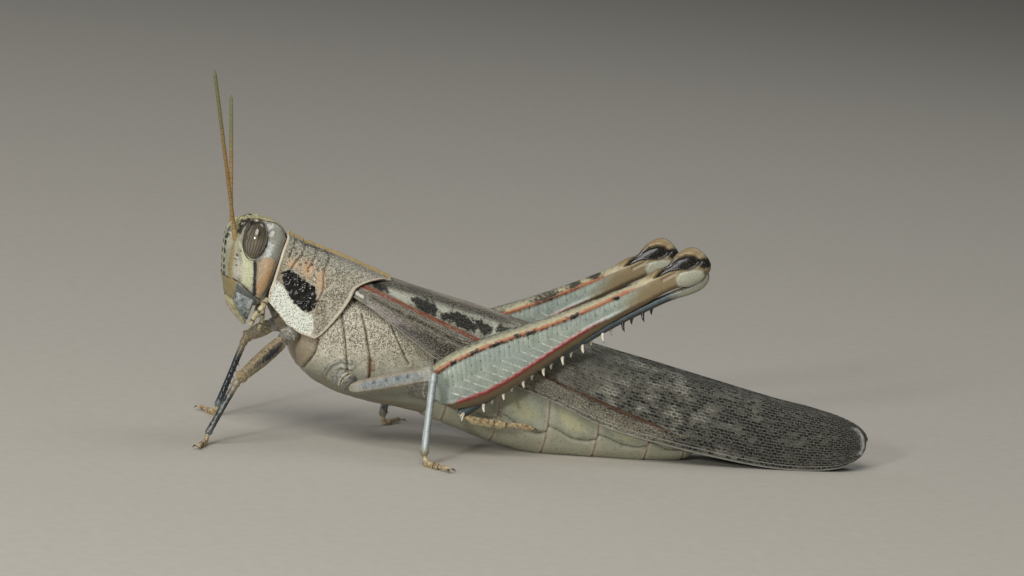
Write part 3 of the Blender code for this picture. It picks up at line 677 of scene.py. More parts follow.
def eyeSurface():
    # Compound eye: clear lenses over brown pigment in upright bands. The lenses give a tight highlight; they
    # are drawn 0.05 mm apart, a little coarser than real ones, so that they show.
    material, tree, place = startMaterial("eyeLens")
    turn, rise, rim, spot = (
        add(tree, "Attribute", out="Fac", attribute_name=name) for name in ("turn", "rise", "rim", "spot"))
    wave = add(tree, "TexNoise", {"Vector": place, "Scale": 2.2, "Detail": 2.0})
    phase = add(tree, "Math", {0: turn, 1: eyePlan["bands"]}, operation="MULTIPLY")
    phase = add(tree, "Math", {0: wave, 1: eyePlan["bandRipple"], 2: phase}, operation="MULTIPLY_ADD")
    band = add(tree, "Math", {0: phase}, operation="SINE")
    band = add(tree, "MapRange", {0: band, 1: -0.1, 2: 0.75})
    band = add(tree, "Math", {0: band, 1: 0.75}, operation="MULTIPLY")
    blot = add(tree, "Math", {0: wave, 1: 0.6, 2: spot}, operation="MULTIPLY_ADD")
    blot = add(tree, "MapRange", {0: blot, 1: 0.75, 2: 0.45, 4: 0.85})
    fade = add(tree, "MapRange", {0: rise, 1: 0.75, 2: 0.2})
    edge = add(tree, "MapRange", {0: rim, 1: 0.08, 2: 0.02})
    colour = linear(eyePlan["base"])
    for share, name in ((fade, "pale"), (band, "stripe"), (blot, "stripe"), (edge, "rim")):
        colour = add(tree, "Mix", {0: share, 6: colour, 7: linear(eyePlan[name])}, **inColour)
    lens = add(tree, "TexVoronoi", {"Vector": place, "Scale": 1 / eyePlan["lensSize"]})
    normal = add(tree, "Bump", {"Height": lens, "Strength": 0.12, "Distance": 0.01 * mm}, invert=True)
    add(tree, "OutputMaterial", {0: add(tree, "BsdfPrincipled", {
        "Base Color": colour, "Normal": normal, "Roughness": eyePlan["roughness"], "IOR": 1.5,
        "Coat Weight": 0.7, "Coat Roughness": 0.06,
    })})
    return material


def makeEyes(head):
    lens, ocellus = eyeSurface(), cuticle("ocellusLens", eyePlan["ocellus"])
    lean = math.radians(eyePlan["lean"])
    level = np.radians(np.linspace(-89.5, 89.5, 110))[:, None]
    turn = np.radians(np.arange(0, 360, 2.5))[None]
    ball = [np.cos(level) * np.cos(turn), np.cos(level) * np.sin(turn), np.sin(level) + 0 * turn]
    ball = np.stack(ball, -1)
    p = ball * np.array(eyePlan["size"]) * 0.995
    leaning = np.stack([
        p[..., 0],
        p[..., 1] * math.cos(lean) + p[..., 2] * math.sin(lean),
        -p[..., 1] * math.sin(lean) + p[..., 2] * math.cos(lean),
    ], -1)
    fields = {
        "turn": np.arctan2(ball[..., 1], np.maximum(ball[..., 0], 0.02)),
        "rise": ball[..., 2],
        "rim": 1.0 - np.hypot(ball[..., 1], ball[..., 2]),
        "spot": np.hypot((ball[..., 1] + 0.02) * 2.4, (ball[..., 2] - 0.45) * 1.1),
    }
    for side in (left, right):
        grid = (leaning + eyeCentre) * (side, 1, 1)
        addPiece("eye_" + sideName[side], patch(grid, fields), lens, "eye", "eye_" + sideName[side])
        spot, normal = nearest(head, 1.3, 19.95, side)
        addPiece("ocellus_" + sideName[side], dome(spot - normal * 0.05, normal, 0.24, 0.16), ocellus, "eye")
    front = head[np.argmin(np.abs(head[:, 0, 2] - 18.2))]
    spot = front[np.argmin(front[:, 1] + 9 * (np.abs(front[:, 0]) > 0.1))]
    addPiece("ocellus_middle", dome(spot + (0, 0.06, 0), (0, -1, 0.1), 0.2, 0.14), ocellus, "eye")


def makeAntennae():
    skin = cuticle("antennaShell", antennaPlan)
    scapeEnd, pedicelEnd, length = (antennaPlan[key] for key in ("scapeEnd", "pedicelEnd", "length"))
    flagellum = np.linspace(pedicelEnd, 1, antennaPlan["joints"] + 1)[1:]
    joints = np.concatenate([[0, scapeEnd, pedicelEnd], flagellum])
    count, around = antennaPlan["points"]
    t = np.linspace(0, 1, count)
    gap = np.min(np.abs(t[:, None] - joints[None]), axis=1) * length
    radius = np.interp(t, *antennaPlan["radius"])
    radius = radius * (1 - 0.16 * bump(gap, 0.05) + 0.04 * bump(gap - 0.14, 0.06))
    fields = {
        "tip": ((0.62 - t) * length)[:, None],
        "root": ((t - pedicelEnd) * length)[:, None],
        "joint": gap[:, None],
    }
    for side in (left, right):
        name = "antenna_" + sideName[side]
        grid = tubeGrid(feelerPath(side, t), radius, radius, (0, 1, 0), around)
        addPiece(name, patch(grid, fields), skin, "feeler", name)
    print("head, eyes and antennae made")


mouthPlan = {
    # Middle lines of the left ones from the root to the tip
    "labrum": [(0, 0.75, 13.15), (0, 0.95, 12.4), (0, 1.5, 11.6), (0, 2.15, 10.9), (0, 2.6, 10.45)],
    "labium": [(0, 4.05, 12.2), (0, 3.95, 11.7), (0, 3.7, 11.15)],
    "shortPalp": [(1.2, 4.0, 12.2), (1.8, 3.95, 11.2), (1.65, 3.65, 10.1)],
    "longPalp": [(2.3, 4.1, 13.1), (3.1, 3.65, 12.6), (3.15, 3.05, 11.8), (2.8, 2.65, 10.6)],
    "mandible": [
        (2.25, 2.1, 13.6), (2.45, 2.1, 12.9), (2.35, 2.15, 12.2), (2.0, 2.3, 11.6), (1.6, 2.5, 11.15),
    ],
    "streak": [(2.8, 2.5, 12.9), (2.8, 2.4, 12.3), (2.4, 2.45, 11.7)],
    "labrumLength": 3.2, "palpLength": 2.4, "mandibleLength": 2.2,
    "look": {
        "base": ("#ada27c", "#d6cfac"), "patch": 0.45, "pits": 0.13, "bump": 0.3, "roughness": 0.4,
        "grain": 0.2,
        "marks": {
            "joint": {"colour": "#4f402b", "soft": 0.05, "at": 0.07, "wobble": 0.15},
            "edge": {"colour": "#2c261d", "soft": 0.05, "at": 0.07, "wobble": 0.1},
        },
        "specks": ({"size": 0.16, "radius": 0.24, "colour": "#7a6d4c", "strength": 0.6},),
    },
    "jawLook": {
        "base": ("#666e70", "#9aa19c"), "patch": 0.45, "pits": 0.13, "bump": 0.3, "roughness": 0.35,
        "grain": 0.2,
        "marks": {
            "streak": {"colour": "#cfd0c4", "soft": 0.12, "wobble": 0.2, "strength": 0.8},
            "edge": {"colour": "#1d1a17", "soft": 0.2, "wobble": 0.2},
        },
        "specks": ({"size": 0.2, "radius": 0.36, "colour": "#3b403f", "strength": 0.9},),
    },
}


def makeMouth():
    pale = cuticle("mouthShell", mouthPlan["look"])
    dark = cuticle("jawShell", mouthPlan["jawLook"])
    forward = (0, -1, 0)
    path, t = sampled(mouthPlan["labrum"], 80)
    width = np.interp(t, (0, 0.3, 0.65, 0.9, 1), (1.45, 1.6, 1.6, 1.1, 0.5))
    thick = np.interp(t, (0, 0.3, 0.7, 1), (0.24, 0.26, 0.24, 0.15))
    grid = tubeGrid(path, width, thick, forward, 110, 2.6)
    grid[..., 1] += 0.16 * grid[..., 0] ** 2
    x = grid[..., 0]
    height = -0.07 * bump(np.abs(x) - 0.9, 0.15) + 0.05 * bump(x, 0.3) + 0.012 * softNoise(grid, 0.25, 4)
    fromRoot = (t * mouthPlan["labrumLength"])[:, None]
    fromTip = ((1 - t) * mouthPlan["labrumLength"])[:, None]
    edge = np.minimum(np.abs(np.abs(x) - width[:, None] * 0.97), fromTip)
    fields = {"joint": fromRoot, "edge": edge + 0.05}
    addPiece("labrum", patch(raised(grid, height), fields), pale, "mouth", "labrum")

    path, t = sampled(mouthPlan["labium"], 30)
    grid = tubeGrid(path, np.interp(t, (0, 0.5, 1), (1.15, 1.25, 0.7)), 0.42 - 0.15 * t, forward, 60, 2.3)
    lowerLip = [patch(raised(grid, -0.12 * bump(grid[..., 0], 0.12)))]
    for side in (left, right):
        shortPalp, longPalp, jaw, streakLine = (
            np.array(mouthPlan[key]) * (side, 1, 1)
            for key in ("shortPalp", "longPalp", "mandible", "streak"))
        lowerLip.append(palp(shortPalp, 0.22, (0.35, 0.7)))
        name = "palp_" + sideName[side]
        addPiece(name, palp(longPalp, 0.27, (0.22, 0.5, 0.8)), pale, "mouth", name)
        path, t = sampled(jaw, 60)
        width = np.interp(t, (0, 0.4, 0.75, 1), (0.42, 0.5, 0.42, 0.2))
        shares = (0, 0.25, 0.5, 0.8, 1)
        ahead = np.interp(t, shares, (1.1, 1.1, 0.8, 0.35, 0.1))
        behind = np.interp(t, shares, (0.9, 0.85, 0.6, 0.3, 0.1))
        grid = tubeGrid(path, width, ahead, forward, 60, 2.2, below=behind)
        streak = lineDistance(grid, streakLine) - 0.16
        fields = {"streak": streak, "edge": ((0.85 - t) * mouthPlan["mandibleLength"])[:, None]}
        height = 0.06 * bump(streak + 0.2, 0.2) + 0.01 * softNoise(grid, 0.2, 5)
        name = "mandible_" + sideName[side]
        addPiece(name, patch(raised(grid, height), fields), dark, "mouth", name)
    addPiece("labium", lowerLip, pale, "mouth", "labium")
    print("mouthparts made")


def palp(points, radius, joints):
    path, t = sampled(points, 70)
    gap = np.min(np.abs(t[:, None] - np.array(joints)[None]), axis=1) * mouthPlan["palpLength"]
    girth = radius * np.interp(t, (0, 0.1, 0.95, 1), (1.05, 1, 0.85, 0.4)) * (1 - 0.22 * bump(gap, 0.07))
    return patch(tubeGrid(path, girth, girth, (0, 1, 0), 26), {"joint": gap[:, None]})


pronotumPlan = {
    # Heights and half width along the body; front and rear edges (y, z)
    "y": (4.0, 5.0, 6.0, 7.3, 8.9, 10.6, 12.3, 13.8, 15.0, 15.9, 16.3),
    "top": (19.95, 19.6, 19.18, 18.65, 18.15, 17.6, 17.05, 16.5, 16.05, 15.7, 15.5),
    "widest": (14.6, 14.4, 14.2, 13.8, 13.4, 13.2, 13.05, 13.0, 13.0, 13.0, 13.0),
    "low": (13.2, 12.2, 11.05, 10.35, 9.9, 9.9, 9.9, 9.9, 9.9, 9.9, 9.9),
    "half": (3.1, 3.35, 3.6, 3.9, 4.2, 4.3, 4.35, 4.38, 4.38, 4.38, 4.38),
    "front": [
        (4.12, 13.1), (4.12, 14.0), (4.34, 14.9), (4.68, 16.5), (5.05, 17.9), (5.4, 18.7), (5.7, 19.25),
    ],
    "rear": [
        (8.6, 9.9), (9.4, 10.6), (10.3, 11.8), (10.95, 12.76), (11.6, 13.9), (12.0, 14.85), (12.4, 15.2),
        (13.0, 15.5), (13.9, 15.75), (15.0, 15.82), (16.2, 15.55),
    ],
    "lowAngle": -20, "power": 2.5, "grid": (170, 280),
    # Relief in mm, then outlines and grooves seen from the side (y, z)
    "thickness": 0.25, "keel": 0.28, "rim": 0.08,
    "blob": [
        (5.1, 15.9), (5.8, 16.4), (6.7, 15.8), (7.4, 15.3), (8.2, 14.9), (8.5, 14.1), (8.4, 12.9),
        (8.1, 12.5), (7.5, 12.5), (6.6, 13.1), (5.9, 13.9), (5.3, 14.9),
    ],
    "white": [
        (3.9, 14.9), (4.7, 15.1), (5.3, 14.7), (5.9, 13.9), (6.6, 13.1), (7.5, 12.4), (8.1, 12.3),
        (8.5, 11.1), (8.3, 10.3), (7.7, 10.0), (6.3, 10.2), (5.2, 11.2), (4.2, 12.7), (3.6, 13.9),
    ],
    "orange": (
        [(5.4, 17.0), (6.3, 17.2), (6.9, 16.8), (6.7, 16.2), (6.1, 16.5), (5.6, 16.3)],
        [(6.9, 17.3), (7.7, 17.2), (8.2, 16.6), (7.9, 15.7), (7.3, 15.7), (6.9, 16.2)],
        [(8.4, 16.6), (9.2, 16.1), (9.1, 15.3), (8.8, 14.0), (8.6, 14.3), (8.3, 15.2)],
    ),
    "grooves": (
        [(7.6, 19.1), (7.4, 18.4), (6.9, 17.6), (6.3, 17.0), (5.9, 16.3)],
        [(8.5, 18.1), (8.0, 17.2), (7.5, 16.5)],
        [(9.7, 17.6), (9.2, 16.7), (9.0, 16.0), (9.0, 14.7), (8.7, 13.8), (8.6, 12.4)],
        [(6.5, 18.9), (6.1, 18.2), (5.7, 17.4)],
    ),
    "keelGaps": (7.6, 8.5, 9.7), "base": ("#a19b88", "#beb7a2"), "patch": 0.8, "pits": 0.2, "bump": 0.6,
    "roughness": 0.45, "grain": 0.25,
    "marks": {
        "upper": {"colour": "#a09e8b", "soft": 0.9, "wobble": 0.8, "strength": 0.8},
        "front": {"colour": "#8b7f6b", "soft": 0.4, "wobble": 0.8, "strength": 0.8},
        "orange": {"colour": "#cda577", "soft": 0.45, "wobble": 1.8, "strength": 0.75},
        "white": {"colour": "#e8ecde", "soft": 0.08, "wobble": 0.5},
        "blob": {"colour": "#141310", "soft": 0.07, "wobble": 0.8, "gloss": 0.16},
        "keelSide": {"colour": "#332b20", "soft": 0.12, "at": 0.06, "wobble": 1.6, "strength": 0.85},
        "keel": {"colour": "#ab8f4c", "soft": 0.06, "at": 0.42},
        "groove": {"colour": "#4c3e30", "soft": 0.04, "at": 0.05, "wobble": 0.04, "strength": 0.9},
        "rim": {"colour": "#dacdb7", "soft": 0.06, "at": 0.22, "wobble": 0.08, "strength": 0.85},
    },
    "specks": (
        {
            "size": 0.125, "radius": 0.64, "colour": "#4a4034", "field": "punctures", "none": 0.15,
            "all": -0.3,
        },
        {"size": 0.42, "radius": 0.36, "colour": "#2f2a24", "field": "shoulder", "none": 0.3, "all": -0.5},
        {"size": 0.16, "radius": 0.4, "colour": "#2e2b25", "field": "whiteDots", "none": 0.1, "all": -0.1},
        {
            "size": 0.22, "radius": 0.45, "colour": "#d6d2c0", "field": "punctures", "none": 0.15,
            "all": -0.4, "strength": 0.6,
        },
    ),
}


def shieldGrid(rowCount, columnCount):
    # Arches over the back by the height profile, between the front and the rear edge.
    shield = pronotumPlan
    power, lowAngle = shield["power"], shield["lowAngle"]
    sink = math.sin(math.radians(-lowAngle)) ** (2 / power)
    fine = 900   # points round each arch before they are spaced evenly

    def profile(y):
        return [np.interp(y, shield["y"], shield[key]) for key in ("top", "widest", "low", "half")]

    def angleOf(point):
        top, widest, low, _ = profile(point[0])
        rise = (point[1] - widest) / (top - widest if point[1] > widest else (widest - low) / sink)
        return math.degrees(math.asin(np.clip(np.sign(rise) * abs(rise) ** (power / 2), -1, 1)))

    turn = np.linspace(lowAngle, 180 - lowAngle, fine)
    lift = 90 - np.abs(turn - 90)
    ends = {}
    for key in ("front", "rear"):
        line = smoothRows(shield[key], 60, [0, 1])[1]
        angles = np.maximum.accumulate([angleOf(point) for point in line])
        angles[0], angles[-1] = lowAngle, 90
        ends[key] = np.interp(lift, angles, line[:, 0])
    y = ends["front"] + (ends["rear"] - ends["front"]) * np.linspace(0, 1, rowCount)[:, None]
    top, widest, low, half = profile(y)
    rise = bulge(np.sin(np.radians(lift)), power)
    z = widest + rise * np.where(rise > 0, top - widest, (widest - low) / sink)
    grid = np.stack([half * bulge(np.cos(np.radians(turn)), power), y, z], -1)
    ring = runLength(grid[rowCount // 2])
    at = np.interp(np.linspace(0, ring[-1], columnCount), ring, np.arange(fine))
    before = np.clip(at.astype(int), 0, fine - 2)
    return grid[:, before] + (grid[:, before + 1] - grid[:, before]) * (at - before)[:, None]


def makePronotum():
    shield = pronotumPlan
    grid = shieldGrid(*shield["grid"])
    x, y, z = np.moveaxis(grid, -1, 0)
    face = grid[..., 1:]
    along = np.linalg.norm(np.diff(grid, axis=0), axis=-1).sum(0)
    share = np.linspace(0, 1, len(grid))[:, None]
    blob = outlineDistance(face, shield["blob"])
    white = outlineDistance(face, shield["white"])
    orange = lowest(face, shield["orange"], outlineDistance)
    groove = lowest(face, shield["grooves"], lineDistance)
    edges = np.minimum(share * along, (1 - share) * along)
    reach = runLength(grid[len(grid) // 2])
    fromEdge = np.minimum(edges, np.minimum(reach, reach[-1] - reach)[None])
    gaps = np.min([np.abs(y - at) for at in shield["keelGaps"]], axis=0)
    height = shield["keel"] * bump(x, 0.3) * (1 - 0.8 * bump(gaps, 0.12)) * ramp(edges, 0, 0.3)
    height -= 0.13 * bump(groove, 0.09)
    height += shield["rim"] * bump(fromEdge - 0.16, 0.14)
    warts = np.sqrt(np.maximum(1 - (cellDistance(grid, 0.5, 7) / 0.62) ** 2, 0))
    height += ramp(blob, 0.1, -0.2) * (0.2 * warts - 0.06)
    height += 0.03 * softNoise(grid, 0.7, 8) + 0.018 * softNoise(grid, 0.2, 9)
    height -= 0.03 * ramp(cellDistance(grid, 0.3, 10), 0.45, 0.2) * ramp(blob, -0.1, 0.2)
    shaped = folded(raised(grid, height, False), shield["thickness"])
    keel = np.abs(x)
    fields = {
        "upper": 15.6 - z + 0.3 * (y - 9),
        "front": 2.2 * (y - 5.3) + 0.5 * (z - 16),
        "orange": orange,
        "white": white,
        "blob": blob,
        "keel": keel,
        "keelSide": np.abs(keel - 1.2) - 0.45 * bump(gaps, 0.6) + 0.2 * ramp(y, 10, 13),
        "groove": groove,
        "rim": fromEdge,
        "punctures": -np.min([white, blob, fromEdge - 0.2, keel - 0.25, orange + 0.25], axis=0),
        "shoulder": np.maximum(y - 9.5, 0.15 - np.min([white, blob, fromEdge - 0.2, keel - 0.3], axis=0)),
        "whiteDots": white,
    }
    skin = cuticle("pronotumShell", shield)
    addPiece("pronotum", patch(shaped, fields, strip=True), skin, "pronotum", "pronotum")
    print("pronotum made")


thoraxPlan = {
    # Upper point (y, z), lower point (y, z), half width
    "rows": [
        (6.9, 11.5, 6.9, 8.7, 2.0), (7.6, 12.8, 7.6, 7.3, 3.0), (9.2, 14.0, 9.2, 5.85, 3.75),
        (10.5, 14.4, 10.5, 5.1, 4.15), (12.2, 14.6, 12.2, 4.45, 4.5), (15.0, 14.4, 15.0, 3.8, 4.5),
        (18.0, 13.9, 18.0, 3.4, 4.1), (20.4, 13.2, 20.4, 3.0, 3.6),
    ],
    "measured": [0], "grid": (170, 250), "hoop": (0.38, 2.8, 2.0),
    "seams": (
        [(10.8, 13.6), (11.5, 10.2), (12.0, 7.4), (12.1, 6.6)],
        [(13.0, 12.6), (13.6, 10.3), (14.1, 8.4), (14.2, 6.5)], [(15.9, 11.7), (17.0, 9.6), (17.9, 8.2)],
        [(9.1, 9.9), (8.9, 8.6), (8.4, 7.4), (8.3, 6.4)],
    ),
    "frontPlate": [(7.0, 12), (9.4, 11), (9.0, 9.2), (8.4, 7.2), (8.3, 6), (6.5, 6)],
    "rustPatch": [(13.7, 8.9), (14.3, 8.6), (14.5, 7.4), (14.2, 6.3), (13.8, 6.4), (13.9, 7.6)],
    "swirl": [(10.4, 6.6), (10.6, 7.4), (11.3, 7.9), (12.3, 7.8)], "base": ("#c0baa5", "#d9d4bf"),
    "patch": 0.9, "pits": 0.2, "bump": 0.6, "grain": 0.22,
    "marks": {
        # low: greyer and darker towards the bottom, painted shade
        "low": {"colour": "#8c8e80", "soft": 1.6, "wobble": 1.0, "strength": 0.9},
        "frontPlate": {"colour": "#9c8f78", "soft": 0.2, "wobble": 0.2},
        "swirl": {"colour": "#8f948c", "soft": 0.2, "at": 0.25, "wobble": 0.4, "strength": 0.7},
        "swirlLine": {"colour": "#4a4231", "soft": 0.07, "at": 0.06, "wobble": 0.2, "strength": 0.8},
        "rustPatch": {"colour": "#7d5c34", "soft": 0.2, "wobble": 0.9, "strength": 0.8},
        "seam": {"colour": "#4b3c28", "soft": 0.05, "at": 0.07, "wobble": 0.1},
        "under": {"colour": "#8c8672", "soft": 0.5},
    },
    "specks": (
        {"size": 0.14, "radius": 0.62, "colour": "#4a4236", "field": "speckled", "none": 3.6, "all": -0.5},
        {
            "size": 0.16, "radius": 0.4, "colour": "#6d6654", "field": "speckled", "none": 5.0, "all": 1.0,
            "strength": 0.6,
        },
    ),
}
# The front ring that the pronotum covers, with the soft skin of the neck
prothoraxPlan = {
    "rows": [
        (4.3, 17.6, 3.8, 13.4, 2.0), (5.6, 18.3, 4.8, 12.0, 2.75), (7.2, 18.0, 5.6, 10.6, 3.1),
        (8.8, 17.4, 6.6, 9.6, 3.3), (10.4, 16.8, 8.0, 9.0, 3.5), (11.6, 15.0, 9.6, 9.4, 3.2),
    ],
    "measured": [0, 1], "grid": (90, 160), "hoop": (0.45, 2.2), "folds": 9, "base": ("#6f6656", "#8e846e"),
    "patch": 0.5, "pits": 0.15, "bump": 0.6, "roughness": 0.6,
    "marks": {
        "fold": {"colour": "#4a4234", "soft": 0.2, "wobble": 0.4},
    },
}
coxaLook = {
    "base": ("#827c6b", "#aca692"), "patch": 0.5, "pits": 0.18, "bump": 0.5, "roughness": 0.45,
    "grain": 0.22,
    "marks": {
        "blue": {"colour": "#6d7476", "wobble": 1.6, "strength": 0.6},
        "seam": {"colour": "#4b3c28", "soft": 0.05, "at": 0.06, "wobble": 0.1},
        "lip": {"colour": "#cfc8ac", "soft": 0.06, "at": 0.07, "wobble": 0.1, "strength": 0.8},
    },
    "specks": ({"size": 0.22, "radius": 0.5, "colour": "#544c3e"},),
}


def makeThorax():
    _, _, grid = hoopShell(thoraxPlan)
    x, y, z = np.moveaxis(grid, -1, 0)
    face = grid[..., 1:]
    seam = lowest(face, thoraxPlan["seams"], lineDistance) + np.where(z < 5.2, 1, 0)
    swirl = lineDistance(face, thoraxPlan["swirl"])
    height = -0.16 * bump(seam, 0.1) + 0.06 * bump(seam - 0.28, 0.16)
    height -= 0.1 * bump(swirl, 0.12)
    height += 0.1 * bump(swirl - 0.3, 0.16)
    height -= 0.12 * np.where(z < 8, bump(x, 0.12), 0)
    height += 0.05 * softNoise(grid, 1.2, 11) + 0.02 * softNoise(grid, 0.3, 12)
    fields = {
        # painted shade: darker towards the bottom of the thorax
        "low": z - 7.8,
        "frontPlate": outlineDistance(face, thoraxPlan["frontPlate"]),
        "swirl": swirl,
        "swirlLine": np.abs(swirl - 0.45) + 0.4 * ramp(y, 12.3, 13.0),
        "rustPatch": outlineDistance(face, thoraxPlan["rustPatch"]),
        "seam": seam,
        "under": only(np.abs(x) < 2.6, z - 6.4),
        "speckled": 9.5 - z + np.where(y < 9, 2 * (9 - y), 0),
    }
    skin = cuticle("thoraxShell", thoraxPlan)
    addPiece("thorax", patch(raised(grid, height), fields), skin, "thorax", "thorax")

    along, _, grid = hoopShell(prothoraxPlan)
    along = along[:, None]
    folds = prothoraxPlan["folds"]
    height = 0.05 * np.sin(along * folds) * ramp(along, 3.5, 1.5) + 0.03 * softNoise(grid, 0.5, 13)
    fields = {"fold": np.cos(along * folds) + only(along < 3)}
    membrane = cuticle("neckMembrane", prothoraxPlan)
    addPiece("prothorax", patch(raised(grid, height), fields), membrane, "thorax")


def makeCoxa(name, leg, radius, short, skin):
    # The coxa and the trochanter, a short ring that carries the femur.
    inner, outer = np.array(leg["coxa"]), np.array(leg["hip"])
    reach = np.linalg.norm(outer - inner)
    along = (outer - inner) / reach
    t = np.linspace(0, 1, 60)
    stop = outer - along * (short - 0.45)
    path = inner + (stop - inner) * t[:, None]
    ring = 0.76   # share of the length where the trochanter starts
    shares = (0, 0.5, 0.72, ring, 0.8, 0.92, 1)
    girth = radius * np.interp(t, shares, (1.05, 1.0, 0.85, 0.62, 0.78, 0.74, 0.35))
    grid = tubeGrid(path, girth, girth, (0, 1, 0.2), 64)
    fromJoint = np.abs(t - ring)[:, None] * reach
    fields = {"seam": fromJoint + 0.03, "lip": np.abs(fromJoint - 0.16), "blue": (0.35 - t)[:, None] * reach}
    addPiece(name, patch(raised(grid, 0.03 * softNoise(grid, 0.4, 14)), fields), skin, "thorax", name)


abdomenPlan = {
    "rows": [
        (20.4, 12.5, 20.4, 2.95, 3.3), (24.0, 11.5, 24.0, 1.8, 3.35), (28.0, 10.5, 28.0, 0.6, 3.35),
        (32.0, 9.4, 32.0, -0.15, 3.3), (36.0, 8.2, 36.0, -0.25, 3.1), (40.0, 7.0, 40.0, -0.25, 2.9),
        (44.0, 5.8, 44.0, -0.15, 2.5), (46.6, 4.6, 46.6, 0.2, 1.85), (47.7, 3.5, 47.7, 0.9, 1.1),
    ],
    "measured": [0], "grid": (460, 150), "hoop": (0.45, 2.1),
    # Where each segment ends (y), and how far its plate stands over the next
    "edges": (17.0, 22.2, 27.2, 32.2, 37.25, 42.45, 46.3, 49.0), "step": 0.14,
    # Upper and lower valve: middle line and girth
    "valves": (
        (
            [(0.36, 46.9, 2.95), (0.38, 48.8, 3.15), (0.3, 50.0, 3.6), (0.24, 50.7, 4.1)],
            (0.45, 0.42, 0.3, 0.06),
        ),
        (
            [(0.36, 46.9, 2.0), (0.38, 48.8, 1.75), (0.28, 49.8, 1.3), (0.22, 50.35, 0.95)],
            (0.5, 0.45, 0.3, 0.06),
        ),
    ),
    "base": ("#969986", "#b0b29f"), "patch": 1.2, "bump": 0.3, "grain": 0.16,
    "marks": {
        "glow": {"colour": "#bdbb95", "wobble": 0.4, "strength": 0.8},
        "belly": {"colour": "#a9a994"},
        "band": {"colour": "#bfb3a0", "soft": 0.12, "at": 0.2, "strength": 0.8},
        "fold": {"colour": "#2d2a20", "soft": 0.07, "at": 0.06, "wobble": 0.12, "strength": 0.9},
        "edge": {"colour": "#877f6d", "soft": 0.09, "at": 0.04, "wobble": 0.1, "strength": 0.75},
        "back": {"colour": "#6a6252", "soft": 0.8, "wobble": 0.6},
    },
    "specks": ({"size": 0.35, "radius": 0.3, "colour": "#77705c", "strength": 0.45},),
}


def makeAbdomen():
    skin = cuticle("abdomenShell", abdomenPlan)
    _, rows, grid = hoopShell(abdomenPlan)
    y, z = grid[..., 1], grid[..., 2]
    edges = np.array(abdomenPlan["edges"])
    part = np.clip(np.searchsorted(edges, y) - 1, 0, len(edges) - 2)
    length = edges[part + 1] - edges[part]
    phase = (y - edges[part]) / length
    top, low = rows[:, None, 1], rows[:, None, 3]
    level = (z - low) / (top - low)
    # Dark lengthwise fold between back plate and belly plate, sagging within each segment
    foldLine = 0.33 - 0.09 * ramp(phase, 0.05, 0.6) + 0.03 * ramp(phase, 0.8, 1.0)
    fold = np.abs(level - foldLine) * (top - low)
    swell = np.sin(phase * math.pi)
    stepped = ramp(phase, 0.0, 0.1) * (0.55 + 0.45 * phase) - ramp(phase, 0.965, 1.0) * 0.9
    height = abdomenPlan["step"] * stepped
    height -= 0.24 * bump(fold, 0.16) - 0.1 * bump(level - foldLine - 0.1, 0.05) * swell
    height += 0.04 * bump(level - foldLine - 0.24, 0.06) * swell
    height += 0.04 * softNoise(grid * (1, 0.5, 1), 0.8, 15) + 0.01 * softNoise(grid, 0.2, 16)
    shaped = raised(grid, height)
    shaped[..., 2] = np.maximum(shaped[..., 2], 0.0)
    edge = np.minimum(phase, 1 - phase) * length
    fields = {
        "belly": (level - foldLine) * 6,
        "fold": fold,
        "back": (0.78 - level) * 6,
        "edge": edge,
        "band": np.where(phase < 0.5, edge, edge - 0.15),
        "glow": np.hypot((level - foldLine - 0.17) * 9, (phase - 0.45) * 2.6) - 0.75,
    }
    addPiece("abdomen", patch(shaped, fields), skin, "abdomen", "abdomen")

    # The four valves that dig the egg hole
    valves = []
    for side in (left, right):
        for points, thick in abdomenPlan["valves"]:
            path, t = sampled(np.array(points) * (side, 1, 1), 50)
            girth = np.interp(t, (0, 0.45, 0.8, 1), thick)
            edge = ((1 - t) * 3.0)[:, None]
            grid = tubeGrid(path, girth * 0.75, girth, (0, 0, 1), 36, 2.2)
            valves.append(patch(grid, {"fold": edge - 0.25, "belly": -edge}))
    addPiece("ovipositor", valves, skin, "abdomen", "ovipositor")
    print("thorax and abdomen made")


